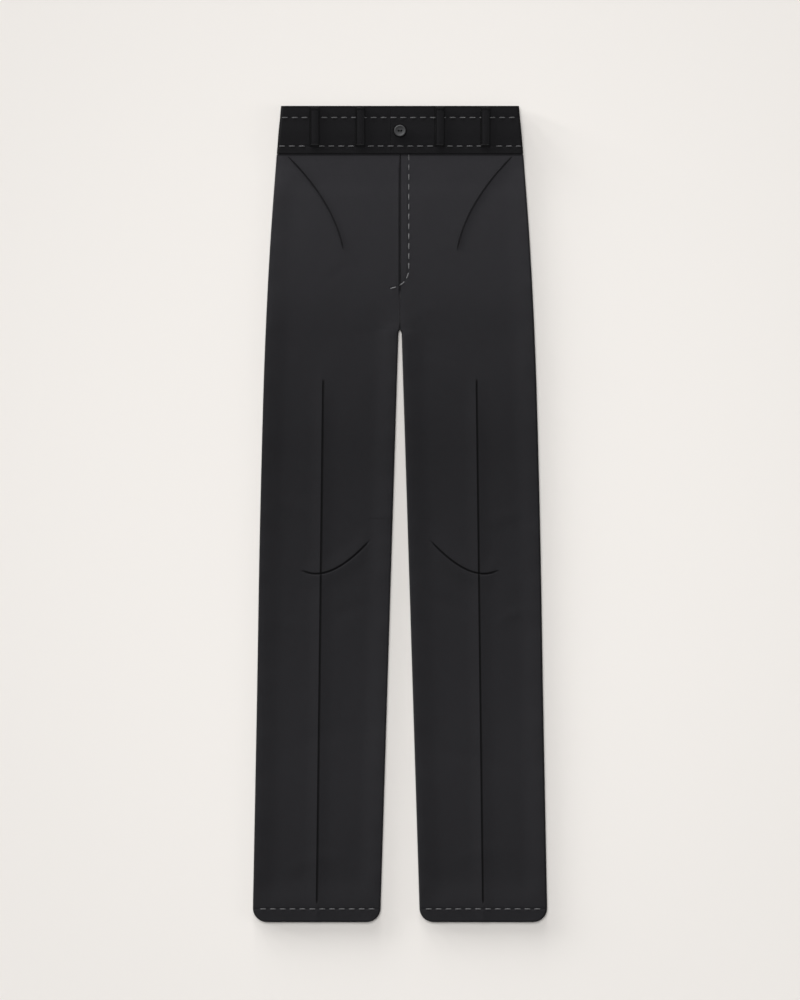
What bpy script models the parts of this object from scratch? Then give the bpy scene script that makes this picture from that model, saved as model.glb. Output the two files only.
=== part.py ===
"""Chino trousers laid flat on their back, front up, made of the pieces they are sewn from.

Frame: +Z up, +X to the viewer's right (the wearer's left), +Y towards the waist. The origin is under
the middle of the garment, on the surface that it lies on.

Every length below is in millimetres, and place() turns it into Blender's metres. "Down" is measured from
the top of the waistband towards the hem, "out" from the centre line towards a side seam.
"""

import math

import bmesh
import bpy
from mathutils import Vector
from mathutils.bvhtree import BVHTree

MM = 0.001

# Driving sizes
LENGTH = 1101.6  # top of the waistband to the hem
BAND_DEPTH = 64.8
CROTCH_DOWN = 303.0
CLOTH = 1.2  # wall of a panel
BAND_CLOTH = 2.0  # wall of the waistband, a folded strip
GAP = 0.3  # between two pieces at a seam
HEM_CORNER = 18.9  # radius of each hem corner, and the depth of the turned-up hem
HEM_TOP = LENGTH - HEM_CORNER
HEM_STEP = 1.0  # over which the turned-up cloth begins

SIDE_SEAM = (  # down, out
    (0.0, 160.6),
    (64.8, 166.4),
    (182.0, 175.0),
    (290.0, 180.8),
    (397.0, 184.8),
    (586.0, 189.5),
    (802.0, 193.2),
    (1082.7, 198.6),
    (1101.6, 199.0),
)

# The gap between the legs
LEG_GAP_START = 2.1  # half its width just under the crotch
LEG_GAP_SLOPE = 0.031  # how much that half grows for each millimetre down
CROTCH_ROUND = 7.0  # length of its rounded tip

# Heights above the surface, from the bottom layer up
BACK_LOOP_TOP = 1.0
BAND_LOW = BACK_LOOP_TOP + GAP
BACK_TUCK_LOW = BAND_LOW + BAND_CLOTH + GAP  # the panels are tucked into the waistband
FRONT_TUCK_LOW = BACK_TUCK_LOW + CLOTH + GAP
FRONT_TUCK_TOP = FRONT_TUCK_LOW + CLOTH
BAND_TOP = FRONT_TUCK_TOP + GAP + BAND_CLOTH
LEG_SEAM = 2.7  # where front and back meet, along the side seam and the inseam
EDGE_TOP = 5.4  # crown of the rolled edges
HIP_TOP = 4.4
LEG_TOP = 3.2
HEM_FRONT_TOP = 4 * CLOTH + GAP  # two doubled hems, one on the other

# How those heights change on the way down: each row is (down, value), with a soft step from row to row
TUCK_END = BAND_DEPTH + 0.6
FRONT_LEVEL = (
    (TUCK_END, FRONT_TUCK_TOP),
    (110.0, HIP_TOP),
    (252.0, HIP_TOP),
    (330.0, LEG_TOP),
    (1040.0, LEG_TOP),
    (HEM_TOP, HEM_FRONT_TOP),
)
BACK_LEVEL = ((TUCK_END, BACK_TUCK_LOW), (78.0, 0.0))
SIDE_CROWN = ((TUCK_END, FRONT_TUCK_TOP), (85.0, EDGE_TOP))
SEAM_LEVEL = ((TUCK_END, FRONT_TUCK_LOW - GAP / 2), (90.0, LEG_SEAM))
WALL = ((HEM_TOP - HEM_STEP, CLOTH), (HEM_TOP, 2 * CLOTH))

# Edges
TUCK_DEPTH = 6.0
TUCK_INSET = ((TUCK_END, BAND_CLOTH + 0.4), (69.5, 0.0))  # a tucked edge clears the waistband's roll
SIDE_RUN = ((BAND_DEPTH, 1.6), (90.0, 2.8))  # width of the rolled edge
BUTT_RUN = 1.0  # rounding of an edge that only meets its neighbour
LEG_RUN = 2.8
INNER_RUN = 0.4  # least width of a roll's inner face
CROWN_WIDTH = 30.0  # from a rolled edge down to the flat of the leg
INSEAM_STARTS = 283.0
HEM_ROUND = 0.6

# Pressed crease down each front leg
CREASE_TOP = (370.0, 103.7)  # down, out
CREASE_END = (1073.0, 112.3)
CREASE_HEIGHT = 3.0
CREASE_HEIGHTS = ((335.0, 0.0), (430.0, CREASE_HEIGHT), (1030.0, CREASE_HEIGHT), (HEM_TOP, 1.3))
CREASE_HALF_WIDTH = 17.0
CREASE_SHARPNESS = 1.5

# Curves on the front, each a start, a pull point and an end, as (out, down)
KNEE_FOLD = ((131.0, 627.8), (94.5, 645.3), (41.2, 587.3))
POCKET_MOUTH = ((151.2, 68.5), (99.5, 114.1), (77.0, 193.1))

KNEE_SWELL = 1.7
KNEE_SWELL_REACH = 24.0
KNEE_GROOVE = 1.6
KNEE_GROOVE_WIDTH = 2.6
KNEE_BEND_REACH = 70.0  # rows this near the fold bend with it
KNEE_FADE = 14.0  # at each end of the fold
KNEE_PAST = 4.0

# Fly: the right front passes under the left one
FLY_DIP = CLOTH + GAP + 0.1
FLY_DIPS = ((76.0, 0.0), (84.0, FLY_DIP), (250.0, FLY_DIP), (262.0, 0.0))
FLY_UNDERLAPS = ((84.0, 0.0), (96.0, 14.0), (236.0, 14.0), (250.0, 0.0))
FLY_DIP_FLAT = 1.5  # it stays low this far from the centre
FLY_DIP_WIDTH = 4.0  # and then rises over this width

# Waistband ends and edges
BAND_LAP = 12.0  # the left end reaches this far past the centre
BAND_ROUND = 0.7
UNDERLAP_REACH = 28.0
UNDERLAP_ROOT = 24.0
UNDERLAP_DOWN = (3.0, 57.0)

# Trim
LOOP_WIDTH = 12.0
LOOP_CLOTH = 1.4
LOOP_BOW = 0.8
LOOP_DOWN = (0.6, 55.4)
FRONT_LOOPS_OUT = (-115.3, -53.6, 53.6, 115.3)
BACK_LOOPS = (("right", -110.0), ("centre", 0.0), ("left", 110.0))
BACK_LOOP_DOWN = (3.0, 61.0)
WELT_WIDTH = 3.0
WELT_HEIGHT = 1.0
BUTTON_DOWN = 33.1
BUTTON_HOLE_RADIUS = 1.1
BUTTON_HOLE_OUT = 1.95
BUTTON_PROFILE = (  # radius, height over its underside
    (0.0, 0.0),
    (6.2, 0.0),
    (7.6, 0.7),
    (8.0, 1.4),
    (7.8, 2.1),
    (7.1, 2.6),
    (6.2, 2.5),
    (5.4, 1.8),
    (4.4, 1.5),
    (0.0, 1.5),
)

# Rows of the panels, as distances down, and the angles of the points round an edge
WAIST_ROWS = (BAND_DEPTH - TUCK_DEPTH, 62.0, TUCK_END, 67.0, 69.5, 73.0, 78.0, 84.0, 90.0, 96.0)
HIP_ROWS = (120.0, 155.0, 195.0)
FLY_END_ROWS = (236.0, 250.0, 262.0)
CROTCH_ROWS = (274.0, INSEAM_STARTS, 290.0, 297.0, CROTCH_DOWN, 303.8, 305.0, 307.0, 310.5, 318.0, 332.0)
THIGH_ROWS = (352.0, 380.0, 420.0, 480.0, 525.0)
KNEE_ROW = 620.0
KNEE_OFFSETS = (-70.0, -45.0, -24.0, -13.0, -6.0, -2.6, 0.0, 2.6, 6.0, 13.0, 24.0, 45.0, 70.0)
SHIN_ROWS = (750.0, 850.0, 950.0, 1030.0, 1055.0, 1070.0, HEM_TOP - HEM_STEP)
BACK_LEG_ROWS = (420.0, 586.0, 802.0, 950.0, HEM_TOP - HEM_STEP)
HEM_ANGLES = (0.0, 15.0, 30.0, 45.0, 60.0, 75.0, 90.0)
FRONT_ROLL = (0.0, 30.0, 60.0, 90.0)
BACK_ROLL = (0.0, 45.0, 90.0)
EDGE_COLUMNS = (9.0, 20.0)  # distances in from a rolled edge
CREASE_COLUMNS = (10.0, 3.5)  # and to each side of the crease
BACK_COLUMN = 9.0
WELT_STATIONS = 18
LOOP_STATIONS = 8
BAND_FLATS = (0.0, 0.33, 0.67, 1.0)
BAND_ROLL_STEPS = 8
BUTTON_SEGMENTS = 28
HOLE_SEGMENTS = 12

# Colours as seen, red green blue of 255, with roughness
TWILL = ((43, 43, 45), 0.9)
BAND_TWILL = ((30, 30, 31), 0.88)
RESIN = ((68, 68, 70), 0.45)


def ramp(value, start, end):
    """0 before start, 1 after end, with a soft rise between."""
    t = min(max((value - start) / (end - start), 0.0), 1.0)
    return t * t * (3 - 2 * t)


def blend(a, b, share):
    return a + (b - a) * share


def hill(distance, reach):
    """1 at no distance, 0 past the reach, round at both ends."""
    return 0.5 + 0.5 * math.cos(math.pi * min(abs(distance) / reach, 1.0))


def stepped(table, at):
    """The table's second column, level past its ends and with a soft step between rows."""
    value = table[0][1]
    for (start, _), (end, target) in zip(table, table[1:]):
        value = blend(value, target, ramp(at, start, end))
    return value


def curved(table, at):
    """The table's second column on one smooth curve through all its rows."""
    slopes = []
    for i in range(len(table)):
        before, after = table[max(i - 1, 0)], table[min(i + 1, len(table) - 1)]
        slopes.append((after[1] - before[1]) / (after[0] - before[0]))
    i = 0
    while i < len(table) - 2 and at > table[i + 1][0]:
        i += 1
    (x0, y0), (x1, y1) = table[i], table[i + 1]
    span = x1 - x0
    t = (at - x0) / span
    return (
        (2 * t**3 - 3 * t**2 + 1) * y0
        + (t**3 - 2 * t**2 + t) * span * slopes[i]
        + (3 * t**2 - 2 * t**3) * y1
        + (t**3 - t**2) * span * slopes[i + 1]
    )


def curve_point(curve, t):
    (x0, y0), (x1, y1), (x2, y2) = curve
    a, b, c = (1 - t) ** 2, 2 * t * (1 - t), t**2
    return a * x0 + b * x1 + c * x2, a * y0 + b * y1 + c * y2


def curve_down_at(curve, out):
    """How far down the curve is at a distance out, and its slope. Past its ends it runs level."""
    (x0, y0), (x1, y1), (x2, y2) = curve
    out = min(max(out, min(x0, x2)), max(x0, x2))
    a, b, c = x0 - 2 * x1 + x2, 2 * (x1 - x0), x0 - out
    t = (-b - math.sqrt(b * b - 4 * a * c)) / (2 * a)
    run = 2 * (1 - t) * (x1 - x0) + 2 * t * (x2 - x1)
    fall = 2 * (1 - t) * (y1 - y0) + 2 * t * (y2 - y1)
    return curve_point(curve, t)[1], fall / run


def hem_inset(down):
    """How far the rounded hem corner draws an edge in."""
    below = min(max(down - HEM_TOP, 0.0), HEM_CORNER)
    return HEM_CORNER - math.sqrt(HEM_CORNER**2 - below**2)


def side_edge(down):
    """Where the outline is, at the side seam."""
    return curved(SIDE_SEAM, min(down, HEM_TOP)) - hem_inset(down)


def panel_side_edge(down):
    return side_edge(down) - stepped(TUCK_INSET, down)


def inner_edge(down):
    """Where the outline is, at the inseam, or the centre seam above the crotch."""
    if down <= CROTCH_DOWN:
        return GAP / 2
    tip = 1 - min((down - CROTCH_DOWN) / CROTCH_ROUND, 1.0)
    width = LEG_GAP_START + LEG_GAP_SLOPE * (min(down, HEM_TOP) - CROTCH_DOWN)
    return max(width * math.sqrt(1 - tip * tip), GAP / 2) + hem_inset(down)


def inseam_share(down):
    """0 where the two panels of a pair butt at the centre, 1 where the leg has an inseam."""
    return ramp(down, INSEAM_STARTS, CROTCH_DOWN)


def inner_run(down):
    return blend(BUTT_RUN, LEG_RUN, inseam_share(down))


def inner_crown(down):
    return blend(stepped(FRONT_LEVEL, down), EDGE_TOP, inseam_share(down))


def crease_out(down):
    (top, out), (end, end_out) = CREASE_TOP, CREASE_END
    return blend(out, end_out, (down - top) / (end - top))


def crease_rise(out, down):
    slope = 1 - min(abs(out - crease_out(down)) / CREASE_HALF_WIDTH, 1.0)
    return stepped(CREASE_HEIGHTS, down) * slope**CREASE_SHARPNESS


def knee_rise(out, down):
    """A soft swell with a narrow groove along the knee fold."""
    row, slope = curve_down_at(KNEE_FOLD, out)
    off = (down - row) / math.sqrt(1 + slope * slope)
    inner, outer = KNEE_FOLD[2][0], KNEE_FOLD[0][0]
    fade = ramp(out, inner - KNEE_PAST, inner + KNEE_FADE)
    fade *= 1 - ramp(out, outer - KNEE_FADE, outer + KNEE_PAST)
    swell = KNEE_SWELL * hill(off, KNEE_SWELL_REACH) * (1 - crease_rise(out, down) / CREASE_HEIGHT)
    return fade * (swell - KNEE_GROOVE * math.exp(-((off / KNEE_GROOVE_WIDTH) ** 2)))


def fly_dip(out, down):
    """How far the right front sinks to pass under the left one."""
    return stepped(FLY_DIPS, down) * (1 - ramp(out, FLY_DIP_FLAT, FLY_DIP_FLAT + FLY_DIP_WIDTH))


def front_height(out, down, inner, side, passes_under):
    """Height of the front panel's face between its two rolled edges."""
    level = stepped(FRONT_LEVEL, down)
    from_side = side - stepped(SIDE_RUN, down) - out
    from_inner = out - inner - inner_run(down)
    height = level + crease_rise(out, down) + knee_rise(out, down)
    height += (stepped(SIDE_CROWN, down) - level) * hill(from_side, CROWN_WIDTH)
    height += (inner_crown(down) - level) * hill(from_inner, CROWN_WIDTH)
    return height - (fly_dip(out, down) if passes_under else 0.0)


def place(out, down, height, side=1):
    return Vector((side * out, LENGTH / 2 - down, height)) * MM


def roll_points(edge, seat, crown, run, cloth, angles, inward):
    """Outer and inner (out, height) round an edge, from the seam at the height seat to its crown.

    inward is +1 or -1, the way to the middle of the panel."""
    for angle in angles:
        back = 1 - math.cos(math.radians(angle))
        rise = math.sin(math.radians(angle))
        up = crown - seat
        thin = math.copysign(max(abs(up) - cloth, 0.0), up)
        yield (
            (edge + inward * run * back, seat + up * rise),
            (edge + inward * (cloth + max(run - cloth, INNER_RUN) * back), seat + thin * rise),
        )


def bend_to_knee(row, out):
    """Rows near the knee fold follow its curve, so that the groove stays crisp."""
    share = 1 - ramp(abs(row - KNEE_ROW), KNEE_SWELL_REACH, KNEE_BEND_REACH)
    return row + share * (curve_down_at(KNEE_FOLD, out)[0] - KNEE_ROW)


def front_columns(down, inner, side, passes_under):
    """Distances out of the columns between the two rolled edges."""
    near, far = EDGE_COLUMNS
    wide, close = CREASE_COLUMNS
    start, end = inner + inner_run(down), side - stepped(SIDE_RUN, down)
    crease = crease_out(down)
    first, second = start + near, start + far
    if passes_under:
        dip = stepped(FLY_DIPS, down) / FLY_DIP
        first = blend(first, FLY_DIP_FLAT, dip)
        second = blend(second, FLY_DIP_FLAT + FLY_DIP_WIDTH, dip)
    return (
        first,
        second,
        blend(second, crease - wide, 1 / 3),
        blend(second, crease - wide, 2 / 3),
        crease - wide,
        crease - close,
        crease,
        crease + close,
        crease + wide,
        blend(crease + wide, end - far, 0.5),
        end - far,
        end - near,
    )


def front_row(row, passes_under):
    """The outer and inner points of one row of a front panel, as (out, down, height)."""

    def ends(down):
        lap = stepped(FLY_UNDERLAPS, down) if passes_under else 0.0
        return inner_edge(down) - lap, panel_side_edge(down)

    def flat(column):
        down = row
        for _ in range(2):
            out = front_columns(down, *ends(down), passes_under)[column]
            down = bend_to_knee(row, out)
        height = front_height(out, down, *ends(down), passes_under)
        return (out, down, height), (out, down, height - stepped(WALL, down))

    def at_inner(down):
        edge, share, cloth = ends(down)[0], inseam_share(down), stepped(WALL, down)
        crown = inner_crown(down) - (fly_dip(edge, down) if passes_under else 0.0)
        seat = blend(crown - cloth, LEG_SEAM + GAP / 2, share)
        return roll_points(edge, seat, crown, inner_run(down), cloth, FRONT_ROLL, 1)

    def at_side(down):
        seat, crown = stepped(SEAM_LEVEL, down) + GAP / 2, stepped(SIDE_CROWN, down)
        run, cloth = stepped(SIDE_RUN, down), stepped(WALL, down)
        return roll_points(ends(down)[1], seat, crown, run, cloth, FRONT_ROLL, -1)

    def with_down(pairs, down):
        return [((a, down, b), (c, down, d)) for (a, b), (c, d) in pairs]

    inner_down = bend_to_knee(row, KNEE_FOLD[2][0])
    side_down = bend_to_knee(row, KNEE_FOLD[0][0])
    columns = len(front_columns(row, *ends(row), passes_under))
    start = with_down(at_inner(inner_down), inner_down)
    end = with_down(at_side(side_down), side_down)
    return start + [flat(column) for column in range(columns)] + end[::-1]


def back_row(row):
    """The outer and inner points of one row of a back panel. Its outer face is the underside."""
    cloth, low = stepped(WALL, row), stepped(BACK_LEVEL, row)
    inner, side = inner_edge(row), panel_side_edge(row)
    inner_seat = blend(low + cloth, LEG_SEAM - GAP / 2, inseam_share(row))
    side_seat = stepped(SEAM_LEVEL, row) - GAP / 2
    start = roll_points(inner, inner_seat, low, inner_run(row), cloth, BACK_ROLL, 1)
    end = roll_points(side, side_seat, low, stepped(SIDE_RUN, row), cloth, BACK_ROLL, -1)
    columns = (inner + BACK_COLUMN, crease_out(row), side - BACK_COLUMN)
    flat = [((out, low), (out, low + cloth)) for out in columns]
    pairs = list(start) + flat + list(end)[::-1]
    return [((a, row, b), (c, row, d)) for (a, b), (c, d) in pairs]


def round_hem(rows):
    """Takes the sharp corners off the hem's fold, away from its two seams."""
    rounded = []
    for (a, b, top), (c, d, low) in rows[-1]:
        trim = math.copysign(min(HEM_ROUND, abs(top - low) / 3), top - low)
        rounded.append(((a, b, top - trim), (c, d, low + trim)))
    rows[-1][1:-1] = rounded[1:-1]


def make_material(name, colour, roughness):
    material = bpy.data.materials.new(name)
    material.use_nodes = True
    shader = material.node_tree.nodes["Principled BSDF"]
    linear = [((c / 255 + 0.055) / 1.055) ** 2.4 for c in colour]
    shader.inputs["Base Color"].default_value = (*linear, 1.0)
    shader.inputs["Roughness"].default_value = roughness
    shader.inputs["Metallic"].default_value = 0.0
    return material


def make_object(name, shape, look):
    """An object from a closed bmesh, facing out, with its own material."""
    bmesh.ops.recalc_face_normals(shape, faces=shape.faces)
    mesh = bpy.data.meshes.new(name)
    shape.to_mesh(mesh)
    shape.free()
    mesh.shade_smooth()
    mesh.set_sharp_from_angle(angle=math.radians(40))
    made = bpy.data.objects.new(name, mesh)
    bpy.context.scene.collection.objects.link(made)
    mesh.materials.append(make_material(name, *look))
    return made


def hide_helper(made):
    made.hide_render = True
    made.display_type = "WIRE"


def shell_from_rows(rows, side):
    """A closed cloth wall from rows of (outer, inner) points."""
    shape = bmesh.new()
    outer = [[shape.verts.new(place(*pair[0], side)) for pair in row] for row in rows]
    inner = [[shape.verts.new(place(*pair[1], side)) for pair in row] for row in rows]
    last_row, last = len(rows) - 1, len(rows[0]) - 1
    for r in range(last_row):
        for c in range(last):
            for sheet in (outer, inner):
                quad = sheet[r][c], sheet[r][c + 1], sheet[r + 1][c + 1], sheet[r + 1][c]
                shape.faces.new(quad)
        for c in (0, last):
            shape.faces.new((outer[r][c], outer[r + 1][c], inner[r + 1][c], inner[r][c]))
    for c in range(last):
        for r in (0, last_row):
            shape.faces.new((outer[r][c], outer[r][c + 1], inner[r][c + 1], inner[r][c]))
    return shape


def solid_from_loops(loops):
    """A closed solid lofted through loops of points, with flat ends."""
    shape = bmesh.new()
    rings = [[shape.verts.new(point) for point in loop] for loop in loops]
    count = len(rings[0])
    for a, b in zip(rings, rings[1:]):
        for i in range(count):
            j = (i + 1) % count
            shape.faces.new((a[i], a[j], b[j], b[i]))
    shape.faces.new(rings[0])
    shape.faces.new(rings[-1])
    return shape


def hem_rows():
    return [HEM_TOP + HEM_CORNER * math.sin(math.radians(angle)) for angle in HEM_ANGLES]


def front_panel(name, side, passes_under):
    upper = WAIST_ROWS + HIP_ROWS + FLY_END_ROWS + CROTCH_ROWS + THIGH_ROWS
    knee = [KNEE_ROW + offset for offset in KNEE_OFFSETS]
    rows = [front_row(row, passes_under) for row in [*upper, *knee, *SHIN_ROWS, *hem_rows()]]
    round_hem(rows)
    return make_object(name, shell_from_rows(rows, side), TWILL)


def back_panel(name, side):
    upper = WAIST_ROWS + HIP_ROWS + CROTCH_ROWS + BACK_LEG_ROWS
    rows = [back_row(row) for row in [*upper, *hem_rows()]]
    round_hem(rows)
    return make_object(name, shell_from_rows(rows, side), TWILL)


def band_point(stretch, share, start, down, depth):
    """(out, height) of a point of the waistband, at a depth under its outer face."""
    radius = (BAND_TOP - BAND_LOW) / 2
    reach = side_edge(down) - radius
    if stretch == "front":
        return blend(start, reach, share), BAND_TOP - depth
    if stretch == "back":
        return blend(reach, GAP / 2, share), BAND_LOW + depth
    angle = math.pi * (0.5 - share)
    out = reach + (radius - depth) * math.cos(angle)
    return out, BAND_LOW + radius + (radius - depth) * math.sin(angle)


def waistband_shape(side, start):
    """Half of the waistband, from its front end round the side to the centre back."""
    low, inside = BAND_DEPTH - BAND_ROUND, BAND_CLOTH - BAND_ROUND
    section = (  # down, depth under the outer face
        (BAND_ROUND, 0.0),
        (low, 0.0),
        (BAND_DEPTH, BAND_ROUND),
        (BAND_DEPTH, inside),
        (low, BAND_CLOTH),
        (BAND_ROUND, BAND_CLOTH),
        (0.0, inside),
        (0.0, BAND_ROUND),
    )
    stations = [("front", share) for share in BAND_FLATS[:-1]]
    stations += [("roll", step / BAND_ROLL_STEPS) for step in range(BAND_ROLL_STEPS + 1)]
    stations += [("back", share) for share in BAND_FLATS[1:]]
    loops = []
    for station in stations:
        spots = [(down, *band_point(*station, start, down, depth)) for down, depth in section]
        loops.append([place(out, down, height, side) for down, out, height in spots])
    return solid_from_loops(loops)


def add_underlap(band):
    """The right end runs on under the left one, as a strip fused below it."""
    step = BAND_LAP + 3 * GAP
    fused = FRONT_TUCK_TOP + 2 * GAP
    outline = (  # out towards the viewer's left, height
        (UNDERLAP_ROOT, FRONT_TUCK_LOW),
        (-UNDERLAP_REACH, FRONT_TUCK_LOW),
        (-UNDERLAP_REACH, FRONT_TUCK_TOP),
        (step, FRONT_TUCK_TOP),
        (step, fused),
        (UNDERLAP_ROOT, fused),
    )
    loops = [[place(out, down, height, -1) for out, height in outline] for down in UNDERLAP_DOWN]
    strip = make_object("underlap_strip", solid_from_loops(loops), BAND_TWILL)
    hide_helper(strip)
    join = band.modifiers.new("underlap", "BOOLEAN")
    join.operation = "UNION"
    join.object = strip


def strip_shape(stations, width, thickness):
    """A flat strip with softened corners. A station is a point (out, down, height) on its underside."""
    half, corner = width / 2, thickness * 0.35
    section = (  # across, up
        (-half, 0.0),
        (half, 0.0),
        (half, thickness - corner),
        (half - corner, thickness),
        (corner - half, thickness),
        (-half, thickness - corner),
    )
    loops = [[place(out + a, down, height + up) for a, up in section] for out, down, height in stations]
    return solid_from_loops(loops)


def front_loop(name, out):
    """A belt loop, held at both ends and standing a little off the waistband between them."""
    stations = []
    for step in range(LOOP_STATIONS + 1):
        share = step / LOOP_STATIONS
        bow = LOOP_BOW * (1 - (2 * share - 1) ** 4)
        stations.append((out, blend(*LOOP_DOWN, share), BAND_TOP + GAP + bow))
    make_object(name, strip_shape(stations, LOOP_WIDTH, LOOP_CLOTH), BAND_TWILL)


def back_loop(name, out):
    stations = [(out, down, 0.0) for down in BACK_LOOP_DOWN]
    make_object(name, strip_shape(stations, LOOP_WIDTH, BACK_LOOP_TOP), BAND_TWILL)


def pocket_welt(name, panel, side):
    """A narrow folded lip along the pocket mouth, made from the front panel's points, moved out."""
    under = bmesh.new()
    under.from_mesh(panel.data)
    surface = BVHTree.FromBMesh(under)
    under.free()
    half = WELT_WIDTH / 2
    section = (  # across, share of the height
        (-half, 0.0),
        (half, 0.0),
        (half, 0.5),
        (half * 0.45, 1.0),
        (-half * 0.45, 1.0),
        (-half, 0.5),
    )
    loops = []
    for station in range(WELT_STATIONS + 1):
        t = station / WELT_STATIONS
        spot = Vector(curve_point(POCKET_MOUTH, t))
        ahead = Vector(curve_point(POCKET_MOUTH, t + 0.01)) - spot
        sideways = Vector((-ahead.y, ahead.x)).normalized()
        loop = []
        for across, up in section:
            above = place(*(spot + across * sideways), 2 * BAND_TOP, side)
            hit = surface.ray_cast(above, Vector((0, 0, -1)))[0]
            loop.append(hit + Vector((0, 0, GAP + WELT_HEIGHT * up)) * MM)
        loops.append(loop)
    make_object(name, solid_from_loops(loops), TWILL)


def button():
    """A round button with a raised rim, a dished middle and two holes."""
    shape = bmesh.new()
    points = [shape.verts.new(Vector((radius, 0, height)) * MM) for radius, height in BUTTON_PROFILE]
    edges = [shape.edges.new(pair) for pair in zip(points, points[1:])]
    turn = {"cent": (0, 0, 0), "axis": (0, 0, 1), "angle": math.tau, "steps": BUTTON_SEGMENTS}
    bmesh.ops.spin(shape, geom=points + edges, use_merge=True, **turn)
    bmesh.ops.remove_doubles(shape, verts=shape.verts, dist=1e-7)
    made = make_object("button", shape, RESIN)
    made.location = place(0, BUTTON_DOWN, BAND_TOP + GAP)
    width = BUTTON_HOLE_RADIUS * MM
    depth = BAND_TOP * MM
    for label, out in (("left", -BUTTON_HOLE_OUT), ("right", BUTTON_HOLE_OUT)):
        drill = bmesh.new()
        size = {"radius1": width, "radius2": width, "depth": depth}
        bmesh.ops.create_cone(drill, cap_ends=True, segments=HOLE_SEGMENTS, **size)
        cutter = make_object("hole_cutter_" + label, drill, RESIN)
        cutter.location = place(out, BUTTON_DOWN, BAND_TOP + GAP)
        hide_helper(cutter)
        cut = made.modifiers.new("hole_" + label, "BOOLEAN")
        cut.operation = "DIFFERENCE"
        cut.object = cutter


def build():
    for thing in list(bpy.data.objects):
        bpy.data.objects.remove(thing, do_unlink=True)
    left = front_panel("front_left", 1, passes_under=False)
    right = front_panel("front_right", -1, passes_under=True)
    back_panel("back_left", 1)
    back_panel("back_right", -1)
    make_object("waistband_left", waistband_shape(1, -BAND_LAP), BAND_TWILL)
    add_underlap(make_object("waistband_right", waistband_shape(-1, BAND_LAP + GAP), BAND_TWILL))
    for number, out in enumerate(FRONT_LOOPS_OUT, start=1):
        front_loop(f"belt_loop_front_{number}", out)
    for label, out in BACK_LOOPS:
        back_loop(f"belt_loop_back_{label}", out)
    pocket_welt("pocket_welt_left", left, 1)
    pocket_welt("pocket_welt_right", right, -1)
    button()


build()
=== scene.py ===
"""Looks of the chino trousers laid flat: fine cloth, sewing, finishes, floor, light and camera.

The cloth pieces repeat the construction's own sizes, in millimetres, on a much finer grid. "Down" is
measured from the top of the waistband towards the hem, "out" from the centre line towards a side seam.
Left and right are the wearer's, so the left side lies towards +X.
"""

import math

import bmesh
import bpy
import numpy as np
from mathutils import Matrix, Vector
from mathutils.bvhtree import BVHTree


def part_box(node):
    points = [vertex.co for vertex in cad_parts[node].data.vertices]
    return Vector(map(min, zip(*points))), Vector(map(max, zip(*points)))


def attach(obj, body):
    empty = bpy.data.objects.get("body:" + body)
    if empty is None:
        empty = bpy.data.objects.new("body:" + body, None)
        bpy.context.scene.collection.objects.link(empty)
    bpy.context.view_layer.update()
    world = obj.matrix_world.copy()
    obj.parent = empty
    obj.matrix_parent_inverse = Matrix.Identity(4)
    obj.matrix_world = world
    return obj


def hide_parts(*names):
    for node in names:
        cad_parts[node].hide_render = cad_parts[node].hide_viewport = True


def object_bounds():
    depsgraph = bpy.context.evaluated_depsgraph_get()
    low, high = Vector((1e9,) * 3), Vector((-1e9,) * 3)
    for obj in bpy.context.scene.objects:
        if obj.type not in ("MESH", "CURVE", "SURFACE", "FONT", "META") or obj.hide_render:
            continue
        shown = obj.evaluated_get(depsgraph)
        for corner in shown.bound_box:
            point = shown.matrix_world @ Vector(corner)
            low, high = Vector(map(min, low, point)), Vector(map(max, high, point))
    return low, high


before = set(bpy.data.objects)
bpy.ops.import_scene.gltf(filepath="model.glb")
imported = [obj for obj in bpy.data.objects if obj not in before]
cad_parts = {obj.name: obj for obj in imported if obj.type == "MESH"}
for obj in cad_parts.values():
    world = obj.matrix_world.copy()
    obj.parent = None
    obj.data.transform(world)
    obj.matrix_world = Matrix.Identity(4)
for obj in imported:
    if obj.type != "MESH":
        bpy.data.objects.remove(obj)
cad_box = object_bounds()

MM = 0.001
SIDES = {"left": 1, "right": -1}

# Sizes of the cut, as the construction has them
LENGTH = (cad_box[1].y - cad_box[0].y) / MM
BAND_DEPTH = 64.8
CROTCH_DOWN = 302.4
CLOTH = 1.2
BAND_CLOTH = 2.0
GAP = 0.3
SEAM_GAP = 0.06  # between two sewn edges
HEM_CORNER = 18.9
HEM_TOP = LENGTH - HEM_CORNER

SIDE_SEAM = (  # down, out
    (0.0, 160.6),
    (64.8, 166.4),
    (182.0, 175.0),
    (290.0, 180.8),
    (397.0, 184.8),
    (586.0, 189.5),
    (802.0, 193.2),
    (1082.7, 198.6),
    (1101.6, 199.0),
)
LEG_GAP_START = 2.1
LEG_GAP_SLOPE = 0.031
CROTCH_ROUND = 7.0

# Heights above the floor
BACK_LOOP_TOP = 1.0
BAND_LOW = BACK_LOOP_TOP + GAP
BACK_TUCK_LOW = BAND_LOW + BAND_CLOTH + GAP
FRONT_TUCK_LOW = BACK_TUCK_LOW + CLOTH + GAP
FRONT_TUCK_TOP = FRONT_TUCK_LOW + CLOTH
BAND_TOP = FRONT_TUCK_TOP + GAP + BAND_CLOTH
LEG_SEAM = 2.7
EDGE_TOP = 5.4
HIP_TOP = 4.4
LEG_TOP = 3.2
HEM_FRONT_TOP = 4 * CLOTH + GAP

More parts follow.
